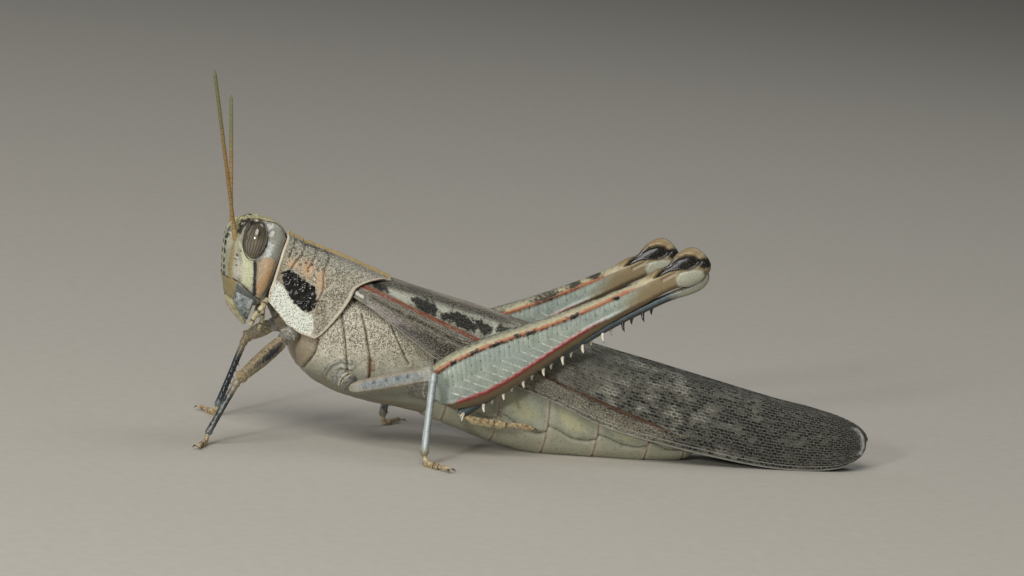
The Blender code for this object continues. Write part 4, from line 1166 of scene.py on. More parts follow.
wingPlan = {
    # From the hinge to the tip: point on the back (y, z), on the lower edge (y, z), how far out the flank is
    "rows": [
        (13.2, 15.75, 11.2, 14.6, 3.6), (16.5, 15.5, 14.2, 13.0, 4.5), (19.0, 14.9, 17.5, 10.75, 4.7),
        (22.5, 14.15, 21.5, 8.4, 4.5), (27.0, 13.05, 26.5, 7.2, 4.4), (32.0, 11.8, 31.5, 5.8, 4.25),
        (38.0, 10.4, 37.5, 3.4, 4.05), (44.0, 9.08, 43.5, 2.0, 3.7), (50.0, 7.72, 49.5, 0.9, 3.15),
        (55.0, 6.62, 54.5, 0.2, 2.6), (59.0, 5.9, 58.6, 0.03, 2.1), (62.0, 5.15, 61.8, 0.3, 1.65),
        (63.7, 4.45, 63.4, 0.85, 1.25), (64.65, 3.7, 64.5, 1.55, 0.9), (65.0, 3.0, 65.0, 2.3, 0.6),
    ],
    "grid": {left: (430, 110), right: (260, 60)},
    "hinge": 14.6, "tip": 65, "thickness": 0.2, "farTip": 0.42, "lastPoint": 65.68,
    "hindWing": {"grid": (180, 34), "inset": 0.75, "arc": 60, "thickness": 0.12, "pleats": 7, "pleat": 0.09},
    # Veins and outlines seen from the side (y, z)
    "radius": [
        (12.2, 15.35), (14.1, 14.8), (16.05, 14.1), (18.3, 13.2), (20.4, 12.45), (22.2, 11.75), (24.4, 10.9),
        (28.4, 9.2), (32.7, 7.3), (36.8, 5.8), (40.3, 4.6), (44.4, 3.2), (50.4, 2.0), (54, 1.4),
    ],
    "ridge": [(12.4, 14.5), (13.9, 13.7), (16.0, 12.7), (18.4, 11.5), (20.6, 10.6), (22.5, 10.0)],
    "backLine": [
        (12.5, 16.4), (14.1, 16.1), (15.8, 15.6), (18.2, 15.05), (21.6, 14.2), (24.9, 13.45), (27.7, 12.7),
        (28.9, 12.4), (36, 10.6), (44, 8.7),
    ],
    "darkLine": [(13.7, 14.3), (15.7, 13.4), (17.3, 12.8), (19.8, 11.85), (22.5, 10.6), (26, 9.2)],
    "blots": (
        [(17.6, 14.4), (18.9, 14.4), (20.0, 14.0), (20.4, 13.3), (19.7, 13.0), (18.7, 13.25), (17.9, 13.8)],
        [
            (20.4, 13.0), (21.6, 13.4), (22.4, 13.3), (23.6, 12.9), (24.2, 12.3), (23.9, 11.7), (22.9, 11.8),
            (21.7, 12.4), (20.7, 12.6),
        ],
        [(23.9, 12.8), (25.3, 12.5), (25.8, 11.9), (25.0, 11.4), (24.3, 11.8)],
        [(26.4, 12.4), (28.0, 12.0), (28.4, 11.2), (26.9, 11.2), (26.2, 11.7)],
        [(13.9, 15.6), (15.3, 15.3), (15.3, 14.9), (14.1, 15.0)],
    ),
    "paleStrip": [
        (15.0, 15.3), (16.5, 15.1), (18.0, 14.7), (21.5, 13.8), (25.0, 12.9), (28.5, 12.1), (28.0, 10.9),
        (25.0, 11.4), (22.5, 11.9), (20.4, 12.7), (18.0, 13.6), (16.0, 14.4), (15.0, 14.8),
    ],
    "lavender": [
        (13.3, 14.0), (14.6, 13.5), (16.7, 12.3), (19.2, 10.9), (20.4, 10.1), (20.0, 9.5), (17.5, 11.0),
        (15.4, 12.2), (13.3, 13.4),
    ],
    "darkLow": [
        (15.8, 12.1), (17.4, 11.9), (19.1, 11.5), (22.5, 10.0), (26.0, 8.4), (25.5, 7.2), (21.5, 8.4),
        (18.1, 10.6), (16.8, 11.2),
    ],
    "costalFar": [
        (27, 9.4), (32.7, 7.1), (36.8, 5.5), (40.3, 4.3), (45, 2.7), (43, 2.2), (38, 3.3), (32, 5.8),
        (27, 7.2),
    ],
    "whiteSpot": [(11.7, 14.95), (12.8, 14.25)],
    "hollow": [(11.5, 15.5), (12.3, 15.9), (14.2, 15.9), (14.2, 15.5), (12.7, 15.65), (12.1, 15.2)],
    # Cells in mm; streaks, clouds and flecks (the pale ones painted glints) by how many there are to the mm,
    # along and across
    "near": ("#433d33", "#a39c8c"), "far": ("#111110", "#64635a"), "net": "#d6d5c6", "line": "#2e2a22",
    "pale": "#cbcabc", "red": "#8a4a34", "redFar": "#583c2a", "roughness": 0.62,
    "cells": {"Brick Width": 0.6, "Row Height": 0.31, "Mortar Size": 0.065, "Mortar Smooth": 0.6},
    "streaks": (0.8, 5.5), "clouds": (0.4, 0.75), "flecksAndGlints": (5.0, 9.0),
    "marks": {
        "front": {"colour": "#8e8a82", "soft": 0.35, "wobble": 1.6, "strength": 0.6},
        "paleStrip": {"colour": "#c9ccba", "wobble": 2.4, "strength": 0.85},
        "lavender": {"colour": "#aca7a5", "soft": 0.25, "wobble": 2.0, "strength": 0.75},
        "darkLow": {"colour": "#332c24", "wobble": 1.8, "strength": 0.8},
        "darkLine": {"colour": "#262219", "soft": 0.1, "at": 0.12, "wobble": 0.6, "strength": 0.85},
        "backShade": {"colour": "#332e26", "soft": 0.15, "at": 0.24, "wobble": 1.2, "strength": 0.85},
        "back": {"colour": "#b3a597", "soft": 0.12, "wobble": 0.4, "strength": 0.85},
        "blots": {"colour": "#0d0d0b", "soft": 0.12, "at": 0.05, "wobble": 1.5, "strength": 0.97},
        # the dark in the hollow just behind the pronotum's rear edge is painted shade
        "hollow": {"colour": "#2b2019", "soft": 0.15},
        "whiteSpot": {"colour": "#e2e2d8", "soft": 0.08, "at": 0.12, "wobble": 0.5},
        "costalFar": {"colour": "#847b66", "wobble": 4.0, "strength": 0.5},
        "paleNet": {"colour": "#9a998a", "soft": 0.6, "wobble": 2.5, "strength": 0.35},
        # a pale crescent near the wing's tip, a painted highlight
        "tip": {"colour": "#d2d6d1", "soft": 0.16, "wobble": 0.7, "strength": 0.75},
    },
}


def wingGrid(rows, side, inset, arc, columns):
    # A folded wing's outer face, from the middle of the back down to its lower edge.
    dense = np.radians(np.linspace(0, arc, 300))
    power = 2 / 2.7
    gap = 0.18   # from the middle of the back to the wing's inner edge

    def at(row, angles):
        over, down = np.sin(angles) ** power, np.cos(angles) ** power
        top, low = np.array([row[0], row[1] - inset]), np.array(row[2:4])
        flat = low + (top - low) * down[:, None]
        return np.stack([side * (gap + (row[4] - inset - gap) * over), flat[:, 0], flat[:, 1]], -1)

    along = runLength(at(rows[len(rows) // 2], dense))
    angles = np.interp(np.linspace(0, along[-1], columns), along, dense)
    return np.stack([at(row, angles) for row in rows])


def wingSkin(name, look):
    # Fore wing: leathery and matt, with dark pigment in the cells between raised pale veins.
    material, tree, place = startMaterial(name)
    u, v = add(tree, "SeparateXYZ", {0: add(tree, "UVMap", uv_map="flow")}).node.outputs[:2]
    noise = add(tree, "TexNoise", {"Vector": place, "Scale": 2.2, "Detail": 4.0, "Roughness": 0.65})
    wave = add(tree, "Math", {0: noise, 1: 0.5}, operation="SUBTRACT")
    names = ["distal", "radius", "edge", *look["marks"]]
    fields = {key: add(tree, "Attribute", out="Fac", attribute_name=key) for key in names}

    def clouded(perMillimetre, detail, roughness):
        # Noise stretched along and across the wing.
        parts = {}
        for i, axis in enumerate((u, v)):
            parts[i] = add(tree, "Math", {0: axis, 1: perMillimetre[i]}, operation="MULTIPLY")
        vector = add(tree, "CombineXYZ", parts)
        settings = {"Vector": vector, "Scale": 1.0, "Detail": detail, "Roughness": roughness}
        return add(tree, "TexNoise", settings)

    # Near the body: streaks along the wing and fine dark lines
    streak = add(tree, "MapRange", {0: clouded(look["streaks"], 5.0, 0.8), 1: 0.4, 2: 0.6})
    pair = {0: streak, 6: linear(look["near"][0]), 7: linear(look["near"][1])}
    near = add(tree, "Mix", pair, **inColour)
    lines = add(tree, "Math", {0: wave, 1: 0.2, 2: v}, operation="MULTIPLY_ADD")
    lines = add(tree, "Math", {0: lines, 1: 0.14}, operation="PINGPONG")
    lines = add(tree, "MapRange", {0: lines, 1: 0.05, 2: 0.015, 4: 0.7})
    near = add(tree, "Mix", {0: lines, 6: near, 7: linear(look["line"])}, **inColour)
    # Towards the tip: rows of small cells, dark or pale in patches and darker still at the end
    cloud = add(tree, "MapRange", {0: clouded(look["clouds"], 3.0, 0.6), 1: 0.35, 2: 0.65, 4: 0.6})
    bent = {
        0: add(tree, "Math", {0: wave, 1: 0.7, 2: u}, operation="MULTIPLY_ADD"),
        1: add(tree, "Math", {0: wave, 1: 0.35, 2: v}, operation="MULTIPLY_ADD"),
    }
    cells = add(tree, "TexBrick", {
        "Vector": add(tree, "CombineXYZ", bent), "Scale": 1.0, **look["cells"],
        "Color1": (0, 0, 0, 1), "Color2": (1, 1, 1, 1),
    })
    veins = cells.node.outputs["Fac"]
    tone = {0: add(tree, "SeparateColor", {0: cells}), 1: 0.65, 2: cloud}
    tone = add(tree, "Math", tone, operation="MULTIPLY_ADD")
    darker = add(tree, "MapRange", {0: fields["distal"], 1: -16.0, 2: -30.0, 4: 0.32})
    tone = add(tree, "Math", {0: tone, 1: darker}, operation="SUBTRACT")
    tone = add(tree, "MapRange", {0: tone, 1: 0.35, 2: 0.9})
    pair = {0: tone, 6: linear(look["far"][0]), 7: linear(look["far"][1])}
    far = add(tree, "Mix", pair, **inColour)
    net = {0: veins, 1: add(tree, "MapRange", {0: tone, 3: 0.17, 4: 1.0})}
    net = add(tree, "Math", net, operation="MULTIPLY")
    far = add(tree, "Mix", {0: net, 6: far, 7: linear(look["net"])}, **inColour)
    share = add(tree, "Math", {0: wave, 1: 6.0, 2: fields["distal"]}, operation="MULTIPLY_ADD")
    share = add(tree, "MapRange", {0: share, 1: 2.5, 2: -2.5})
    nearShare = add(tree, "Math", {0: 1.0, 1: share}, operation="SUBTRACT")
    colour = add(tree, "Mix", {0: share, 6: near, 7: far}, **inColour)
    colour, _ = painted(tree, colour, wave, look["marks"], fields)
    # Pale flecks painted as glints on the veins and hairs, and dark pigment flecks, near the body and along
    # the lower edge, thin on the dark blots
    flecksAndGlints = clouded(look["flecksAndGlints"], 3.0, 0.8)
    costal = add(tree, "MapRange", {0: fields["costalFar"], 1: 0.3, 2: -0.3, 3: 0.4, 4: 1.0})
    clear = add(tree, "MapRange", {0: fields["blots"], 1: -0.1, 2: 0.2, 3: 0.35})
    glintAndFleckShare = add(tree, "Math", {0: nearShare, 1: costal}, operation="MAXIMUM")
    glintAndFleckShare = add(tree, "Math", {0: glintAndFleckShare, 1: clear}, operation="MULTIPLY")
    for low, high, shade in ((0.53, 0.63, look["pale"]), (0.47, 0.37, look["line"])):
        dots = add(tree, "MapRange", {0: flecksAndGlints, 1: low, 2: high, 4: 0.72})
        dots = add(tree, "Math", {0: dots, 1: glintAndFleckShare}, operation="MULTIPLY")
        colour = add(tree, "Mix", {0: dots, 6: colour, 7: linear(shade)}, **inColour)
    # The red main vein, a double line, weaker along its middle
    pair = {0: share, 6: linear(look["red"]), 7: linear(look["redFar"])}
    red = add(tree, "Mix", pair, **inColour)
    edge = add(tree, "Math", {0: wave, 1: 0.45, 2: fields["radius"]}, operation="MULTIPLY_ADD")
    band = add(tree, "MapRange", {0: edge, 1: 0.2, 2: 0.1})
    split = add(tree, "MapRange", {0: edge, 1: 0.0, 2: 0.06, 3: 0.45, 4: 0.9})
    band = add(tree, "Math", {0: band, 1: split}, operation="MULTIPLY")
    colour = add(tree, "Mix", {0: band, 6: colour, 7: red}, **inColour)
    # Two pale lines round the edge
    for at, strength in ((0.06, 0.5), (0.5, 0.25)):
        rim = add(tree, "Math", {0: fields["edge"], 1: at}, operation="SUBTRACT")
        rim = add(tree, "Math", {0: rim}, operation="ABSOLUTE")
        rim = add(tree, "MapRange", {0: rim, 1: 0.08, 2: 0.02, 4: strength})
        colour = add(tree, "Mix", {0: rim, 6: colour, 7: linear(look["pale"])}, **inColour)
    farVeins = add(tree, "Math", {0: veins, 1: share}, operation="MULTIPLY")
    ridges = add(tree, "Math", {0: lines, 1: nearShare, 2: farVeins}, operation="MULTIPLY_ADD")
    tall = add(tree, "Math", {0: noise, 1: 0.5, 2: ridges}, operation="MULTIPLY_ADD")
    normal = add(tree, "Bump", {"Height": tall, "Strength": 0.6, "Distance": 0.03 * mm})
    rough = add(tree, "MapRange", {0: noise, 3: look["roughness"] - 0.08, 4: look["roughness"] + 0.1})
    add(tree, "OutputMaterial", {0: add(tree, "BsdfPrincipled", {
        "Base Color": colour, "Normal": normal, "Roughness": rough, "IOR": 1.5, "Specular IOR Level": 0.15,
    })})
    material["fields"] = names
    return material


def makeTegmen(name, side, table, skin):
    rowCount, columnCount = wingPlan["grid"][side]
    along, rows = smoothRows(table, rowCount, [2, 3])
    grid = wingGrid(rows, side, 0, 90, columnCount)
    y, z = grid[..., 1], grid[..., 2]
    face = grid[..., 1:]
    radius = lineDistance(face, wingPlan["radius"])
    backLine = lineDistance(face, wingPlan["backLine"])
    ridge = lineDistance(face, wingPlan["ridge"])
    above = z - np.interp(y, *np.array(wingPlan["radius"]).T)
    backZ = np.interp(y, *np.array(wingPlan["backLine"]).T)
    ring = runLength(grid[len(grid) // 2])
    across = np.linspace(0, 1, columnCount)[None]
    edge = np.minimum((1 - across) * 9, (1 - np.linspace(0, 1, rowCount))[:, None] * 52)
    veins = np.cos(ring[None] / 0.6 * math.pi * 2)
    height = 0.12 * bump(radius - 0.14, 0.07) + 0.07 * bump(backLine, 0.12) + 0.12 * bump(ridge, 0.3)
    height += 0.05 * bump(edge, 0.12) + 0.015 * veins + 0.03 * softNoise(grid, 1.5, 17)
    # A hollow just behind the pronotum's rear edge, which its mark paints dark as shade
    height -= 0.25 * ramp(outlineDistance(face, wingPlan["hollow"]), 0.15, -0.15)
    height *= ramp(y, wingPlan["tip"], 63.4)   # the veins run out at the tip
    shaped = folded(raised(grid, height, False), wingPlan["thickness"])
    shaped[..., 2] = np.maximum(shaped[..., 2], 0.0)
    shaped[..., 1] = np.minimum(shaped[..., 1], wingPlan["lastPoint"])
    outlined = ("paleStrip", "lavender", "darkLow", "hollow", "costalFar")
    fields = {key: outlineDistance(face, wingPlan[key]) for key in outlined}
    # A pale crescent close to the tip, where the painted highlight goes
    crescent = 2.8 * np.hypot((y - 61.9) / 3.1, (z - 2.75) / 2.4) - 2.45
    fields.update({
        "distal": 29.5 - y + 0.5 * (z - 10),
        "radius": radius + 0.3 * ramp(y, 42, 47),
        "edge": edge,
        "blots": lowest(face, wingPlan["blots"], outlineDistance),
        "back": backZ - z + 0.1 + 3 * ramp(y, 27, 33),
        "backShade": np.abs(z - backZ + 0.2) + 0.5 * ramp(y, 26, 30),
        "paleNet": np.hypot((y - 33) / 6, (z - 9.5) / 3) - 1,
        "darkLine": lineDistance(face, wingPlan["darkLine"]),
        "front": np.maximum(-above - 0.2, y - 24) + np.where(above > 0, 9, 0),
        "whiteSpot": lineDistance(face, wingPlan["whiteSpot"]),
        "tip": np.maximum(np.abs(crescent) - 0.15, np.abs(z - 3.0) - 1.2) + 9 * ramp(y, 63, 62),
    })
    flow = (along, np.concatenate([ring, ring[-1] + 0.2 + (ring[-1] - ring[::-1]), [2 * ring[-1] + 0.4]]))
    addPiece(name, patch(shaped, fields, strip=True, flow=flow), skin, "tegmen", name)


def makeWings():
    skin = wingSkin("wingLeather", wingPlan)
    hind = wingPlan["hindWing"]
    for side in (left, right):
        table = np.array(wingPlan["rows"])
        if side == right:   # the far wing reaches a little further back
            hinge, tip = wingPlan["hinge"], wingPlan["tip"]
            for column in (0, 2):
                stretch = np.maximum(table[:, column] - hinge, 0) / (tip - hinge)
                table[:, column] += wingPlan["farTip"] * stretch
        makeTegmen("tegmen_" + sideName[side], side, table, skin)
        rowCount, columnCount = hind["grid"]
        _, rows = smoothRows(table[3:-2], rowCount, [2, 3])
        grid = wingGrid(rows, side, hind["inset"], hind["arc"], columnCount)
        pleats = hind["pleat"] * np.cos(np.linspace(0, 2 * hind["pleats"] * math.pi, columnCount))[None]
        fan = folded(raised(grid, pleats + 0 * grid[..., 0], False), hind["thickness"])
        name = "hind_wing_" + sideName[side]
        addPiece(name, patch(fan, {"distal": -9.0}, strip=True), skin, "wing", name)
    print("wings made")


hindLegs = {
    left: {
        "coxa": (2.4, 18.2, 6.1), "hip": (6.1, 21.1, 6.0), "knee": (6.5, 44.5, 19.95),
        "toe": (4.9, 30.2, 2.95),
    },
    right: {
        "coxa": (-2.4, 18.2, 6.1), "hip": (-6.1, 21.1, 6.0), "knee": (-6.5, 45.3, 19.0),
        "toe": (-4.9, 30.2, 2.6),
    },
}
femurPlan = {
    # Distance along the femur from the hip, height above and below its axis, half thickness
    "rows": [
        (-1.2, 1.5, -0.7, 0.45), (-0.8, 2.3, 0.5, 0.85), (0.3, 2.9, 1.75, 1.2), (2.2, 3.18, 2.4, 1.35),
        (4.6, 3.13, 2.55, 1.35), (7.3, 2.85, 2.3, 1.32), (10.2, 2.4, 1.95, 1.22), (13.4, 1.95, 1.5, 1.08),
        (17.2, 1.57, 1.1, 0.95), (21.0, 1.36, 0.95, 0.88), (23.6, 1.6, 0.85, 0.95), (25.5, 1.98, 1.2, 1.12),
        (26.7, 2.06, 1.25, 1.1), (27.4, 1.8, 1.05, 0.95), (27.85, 1.2, 0.8, 0.75), (28.1, 0.5, 0.4, 0.4),
    ],
    "grid": (380, 150), "chevron": 1.0,
    # Lines and outlines in the femur's own frame (distance, height)
    "upper": [
        (-0.8, 2.2), (0.3, 2.45), (1.8, 2.6), (4.7, 2.5), (7.5, 2.2), (10.6, 1.7), (14.1, 1.3), (16.8, 1.15),
        (20.5, 1.0),
    ],
    "lower": [
        (-0.6, -0.6), (0.7, -1.05), (3.3, -1.4), (5.5, -1.35), (7.2, -1.2), (9.5, -0.9), (11.7, -0.65),
        (13.3, -0.5), (15.3, -0.35), (17.5, -0.35),
    ],
    "middle": [(0, 0.5), (2, 0.75), (5, 0.8), (8, 0.75), (12, 0.55), (16, 0.45), (20, 0.4)],
    "crescent": [
        (22.5, 1.1), (23.3, 1.5), (24.3, 1.82), (25.4, 1.9), (26.3, 1.75), (27.05, 1.25), (27.35, 0.5),
        (26.6, 0.25), (25.8, 0.35), (25.0, 0.75), (24.1, 1.0), (23.2, 1.0),
    ],
    "lobe": [
        (24.3, 0.0), (24.8, 0.45), (25.6, 0.42), (26.4, 0.15), (27.0, -0.34), (27.0, -0.88), (26.3, -1.35),
        (25.1, -1.15), (24.3, -0.55),
    ],
    "tip": [(26.9, 0.9), (27.6, 0.75), (28.4, 0.2), (28.2, -0.4), (27.3, -0.3), (26.9, 0.2)],
    "innerBlots": ((3.0, 6, 0.1), (9.0, 2.5, 0.1), (14.3, 4, 0.2), (17.3, 2, 0.3), (19.6, 2, 0.4)),
    "dashes": (2.0, 4.1, 6.3, 8.4, 9.6, 14.1, 18.4),
    "kneeFold": [(23.2, 0.6), (25.0, 0.7), (26.5, 0.2), (27.3, -0.2)],
    "base": ("#93a093", "#adb7a8"), "patch": 0.9, "bump": 0.2, "roughness": 0.38, "wax": 0.3,
    "marks": {
        "cool": {"colour": "#9ba6a2", "soft": 1.2, "wobble": 1.2, "strength": 0.6},
        "fineLine": {"colour": "#67716f", "soft": 0.03, "at": 0.025, "wobble": 0.06, "strength": 0.7},
        "whiteLine": {"colour": "#eef1e9", "soft": 0.04, "at": 0.035, "wobble": 0.22},
        "dot": {"colour": "#20242a", "soft": 0.05, "at": 0.07, "wobble": 0.1},
        "distal": {"colour": "#8e7e5e", "soft": 1.5, "wobble": 1.5},
        # the femur's brown strip below the red line, its own brown made darker as painted shade
        "bottom": {"colour": "#74603f", "soft": 0.12},
        "under": {"colour": "#594a36"},
        "top": {"colour": "#c2b896", "soft": 0.12, "wobble": 0.25},
        "topEdge": {"colour": "#7e8476", "soft": 0.2, "wobble": 0.8, "strength": 0.85},
        "topLine": {"colour": "#43474a", "soft": 0.1, "at": 0.06, "wobble": 0.9, "strength": 0.8},
        "arch": {"colour": "#9a8560", "soft": 0.4},
        "upperLine": {"colour": "#b06c48", "soft": 0.07, "at": 0.14},
        "upperEdge": {"colour": "#5a2c1e", "soft": 0.06, "at": 0.05, "wobble": 0.7, "strength": 0.8},
        "lowerLine": {"colour": "#87302a", "soft": 0.09, "at": 0.21},
        "dash": {"colour": "#1a1815", "soft": 0.06, "wobble": 0.4},
        "innerBlot": {"colour": "#22241f", "soft": 0.15, "wobble": 0.8, "strength": 0.9},
        "lobe": {"colour": "#b3b4a0", "soft": 0.1, "wobble": 0.2},
        "crescent": {"colour": "#120e0b", "soft": 0.1, "wobble": 0.15, "gloss": 0.3},
        "tip": {"colour": "#15110d", "soft": 0.1, "wobble": 0.15},
    },
    "specks": ({"size": 0.2, "radius": 0.34, "colour": "#7b7664", "strength": 0.45},),
}
tibiaPlan = {
    # Middle line in the femur's frame, from inside the knee: distance, height, half height
    "rows": [
        (26.6, -0.2, 0.4), (27.1, -0.7, 0.5), (26.95, -1.25, 0.55), (26.3, -1.6, 0.52), (25.2, -1.62, 0.46),
        (23.8, -1.45, 0.4), (22.0, -1.33, 0.38), (17.5, -1.3, 0.36), (12.5, -1.58, 0.36), (7.0, -1.95, 0.38),
        (2.6, -2.35, 0.42), (0.9, -2.42, 0.52), (0.5, -2.43, 0.42),
    ],
    "grid": (280, 44), "halfWidth": ((23, 25.5), (0.36, 0.62)), "spines": 9, "spineRadius": 0.17,
    "spurRadius": 0.12, "base": ("#2c3739", "#414e52"), "patch": 1.4, "pits": 0.12, "bump": 0.2,
    "roughness": 0.3, "wax": 0.4,
    "marks": {
        "under": {"colour": "#1c2428", "soft": 0.2, "strength": 0.8},
        "knee": {"colour": "#8f8d78", "soft": 0.6, "wobble": 0.8},
        "sheen": {"colour": "#7d8c8f", "soft": 0.12, "strength": 0.6},
    },
}
spineLook = {
    "base": ("#e6e2cf", "#d6d0b6"), "patch": 0.3, "pits": 0.1, "bump": 0.1, "roughness": 0.25, "wax": 0.5,
    "marks": {
        "dark": {"colour": "#2a2118", "soft": 0.08, "wobble": 0.1},
        "end": {"colour": "#14100c", "soft": 0.06, "at": 0.16, "wobble": 0.1},
    },
}
tarsusLook = {
    "base": ("#8a6c4a", "#c9bd96"), "patch": 0.3, "pits": 0.12, "bump": 0.5, "grain": 0.25,
    "marks": {
        "pad": {"colour": "#b9ad88", "soft": 0.05, "strength": 0.7},
        "joint": {"colour": "#4a3a24", "soft": 0.05, "at": 0.06, "wobble": 0.1},
        "claw": {"colour": "#2a1e14", "soft": 0.1, "wobble": 0.1},
    },
}


def spine(root, tip, radius, dark):
    share = np.linspace(0, 1, 12)
    path = root + (tip - root) * share[:, None]
    path += 0.06 * np.sin(np.linspace(0, math.pi, 12))[:, None] * unit(np.cross(tip - root, (1, 0, 0)))
    girth = radius * np.interp(share, (0, 0.15, 0.6, 1), (1.15, 1, 0.75, 0.12))
    grid = tubeGrid(path, girth, girth, (1, 0, 0.1), 12)
    toTip = (1 - share)[:, None] * np.linalg.norm(tip - root)
    return patch(grid, {"end": toTip, "dark": -1.0 if dark else nowhere})


def claws(toe, along, across):
    made = []
    upward = np.array([0, 0, 0.1])
    for turn in (1, -1):
        root = toe - along * 0.15 + across * 0.08 * turn
        bend = root + along * 0.32 + across * 0.26 * turn + upward
        path, t = sampled([root, bend, bend + along * 0.3 + across * 0.1 * turn - 2 * upward], 26)
        girth = 0.1 * np.interp(t, (0, 0.5, 1), (1, 0.75, 0.12))
        grid = tubeGrid(path, girth, girth, (0, 0, 1), 14)
        grid[..., 2] = np.maximum(grid[..., 2], 0.0)
        made.append(patch(grid, {"claw": (0.45 - t)[:, None]}))
    pad = toe + along * 0.1
    swell = np.sin(np.linspace(0.5, 2.9, 12))
    path = np.linspace(pad - along * 0.2, pad + along * 0.14, 12)
    made.append(patch(tubeGrid(path, 0.13 * swell, 0.09 * swell, (0, 0, 1), 18)))
    return made


def makeTarsus(name, shinEnd, ankle, toe, skin, size=1.0):
    # First joint with three pads under it, a short second one, a long third one with the claws.
    shinEnd, ankle, toe = (np.array(point, float) for point in (shinEnd, ankle, toe))
    reach = np.linalg.norm(toe - ankle)
    t = np.linspace(0, 1, 130)
    path = ankle + (toe - ankle) * t[:, None]
    path += (shinEnd - ankle) * (np.clip(1 - t / 0.16, 0, 1) ** 1.5)[:, None]
    path[:, 2] += 0.10 * np.sin(np.clip((t - 0.6) / 0.4, 0, 1) * math.pi)
    girth = size * np.interp(t, (0, 0.04, 0.12, 0.38, 0.42, 0.46, 0.57, 0.6, 0.64, 0.9, 1),
                             (0.2, 0.24, 0.28, 0.32, 0.22, 0.3, 0.3, 0.17, 0.17, 0.24, 0.14))
    pads = 0.1 * sum(bump(t - at, 0.035) for at in (0.13, 0.24, 0.35, 0.51))
    grid = tubeGrid(path, girth * 0.85, girth, (0, 0, 1), 40, below=girth + pads)
    grid[..., 2] = np.maximum(grid[..., 2], 0.0)
    joint = np.minimum(np.abs(t - 0.42), np.abs(t - 0.6))[:, None] * reach
    below = (grid[..., 2] - path[:, None, 2]) + 0.2
    along = unit(toe - ankle)
    pieces = [patch(grid, {"joint": joint, "pad": below, "claw": nowhere})]
    pieces += claws(toe, along, unit(np.cross(along, (0, 0, 1))))
    addPiece(name, pieces, skin, "tarsus", name)


def makeHindFemur(name, side, hip, axes, skin):
    along, across, up = axes
    ringCount, around = femurPlan["grid"]
    _, rows = smoothRows(femurPlan["rows"], ringCount, [0])
    path = hip + along * rows[:, 0:1]
    grid = tubeGrid(path, rows[:, 3], rows[:, 1], (0, 0, 1), around, 2.3, below=rows[:, 2])
    s, h = (grid - hip) @ along, (grid - hip) @ up
    out = (grid - hip) @ across * side
    face = np.stack([s, h], -1)
    upper, lower, middle = (
        np.interp(s, *np.array(femurPlan[key]).T) for key in ("upper", "lower", "middle"))
    onFace = ramp(np.abs(out), 0.3, 0.6) * ramp(s, 0.2, 0.8) * ramp(s, 20, 16)
    inside = np.minimum(upper - h, h - lower)
    # Herringbone: slanting ribs below the middle line, finer ones above it, and a dot between each two
    step = femurPlan["chevron"]
    lowPhase = np.abs((s - 0.95 * (middle - h) + 50.5 * step) % step - step / 2)
    highPhase = np.abs((s - 0.4 * (h - middle) + 50.25 * step) % (step / 2) - step / 4)
    gate = only(inside > 0.12) + only(onFace > 0.4)
    whiteLine = only(h < middle, lowPhase * 0.7) + gate + 0.06 * ramp(s, 11, 17)
    fineLine = only(h >= middle, highPhase * 0.9) + gate
    dots = np.hypot(np.abs((s + 50.5 * step) % step - step / 2), h - middle)
    upperDots = np.hypot(np.abs((s - 0.3 + 50.5 * step) % step - step / 2), h - middle - 0.75)
    dots = np.minimum(dots, upperDots) + gate
    crescent = outlineDistance(face, femurPlan["crescent"])
    lobe = outlineDistance(face, femurPlan["lobe"])
    height = 0.12 * bump(h - upper, 0.16) * ramp(s, 23, 19)
    height += 0.13 * bump(h - lower, 0.18) * ramp(s, 22, 17)
    height -= 0.1 * onFace * ramp(inside, 0, 0.35)
    height += 0.05 * bump(whiteLine, 0.1) - 0.03 * bump(fineLine, 0.06)
    height += -0.42 * ramp(crescent, 0.12, -0.2) + 0.16 * ramp(lobe, 0.2, -0.2)
    height -= 0.15 * bump(lineDistance(face, femurPlan["kneeFold"]), 0.14)
    height += 0.02 * softNoise(grid, 0.6, 18)
    dash = np.full(s.shape, nowhere)
    for i, at in enumerate(femurPlan["dashes"]):
        oval = np.hypot((s - at) / (1.9 + i % 3), h - upper + 0.12 - 0.1 * (i % 2))
        dash = np.minimum(dash, oval - 0.17)
    innerBlot = np.full(s.shape, nowhere)
    for at, reach, rise in femurPlan["innerBlots"]:
        innerBlot = np.minimum(innerBlot, np.hypot((s - at) / reach, h - upper - rise) - 0.35)
    fields = {
        "cool": -np.cos(s * 0.8 + h),
        "fineLine": fineLine,
        "whiteLine": whiteLine,
        "dot": dots,
        "distal": 19.2 - s + 1.5 * h,
        "top": upper - h - 0.05,
        "topEdge": upper + 0.42 - h,
        "topLine": np.abs(h - upper - 0.75) + only(s < 20),
        "bottom": h - lower + 0.02,
        "under": h - lower + 0.75,
        "innerBlot": innerBlot + only(out < 0.2),
        "dash": dash + only((s < 20) & (out > 0)),
        "upperLine": np.abs(h - upper + 0.02) + 0.35 * ramp(s, 19, 23),
        "upperEdge": np.abs(h - upper + 0.17) + 0.35 * ramp(s, 14, 18) + only(out > 0),
        "lowerLine": np.abs(h - lower - 0.03) + 0.3 * ramp(s, 13, 19) + 0.3 * ramp(s, 1.0, 0.0),
        "arch": np.maximum(22 - s, 1.0 - h),
        "lobe": lobe,
        "crescent": crescent,
        "tip": outlineDistance(face, femurPlan["tip"]),
    }
    addPiece(name, patch(raised(grid, height), fields), skin, "femur", name)


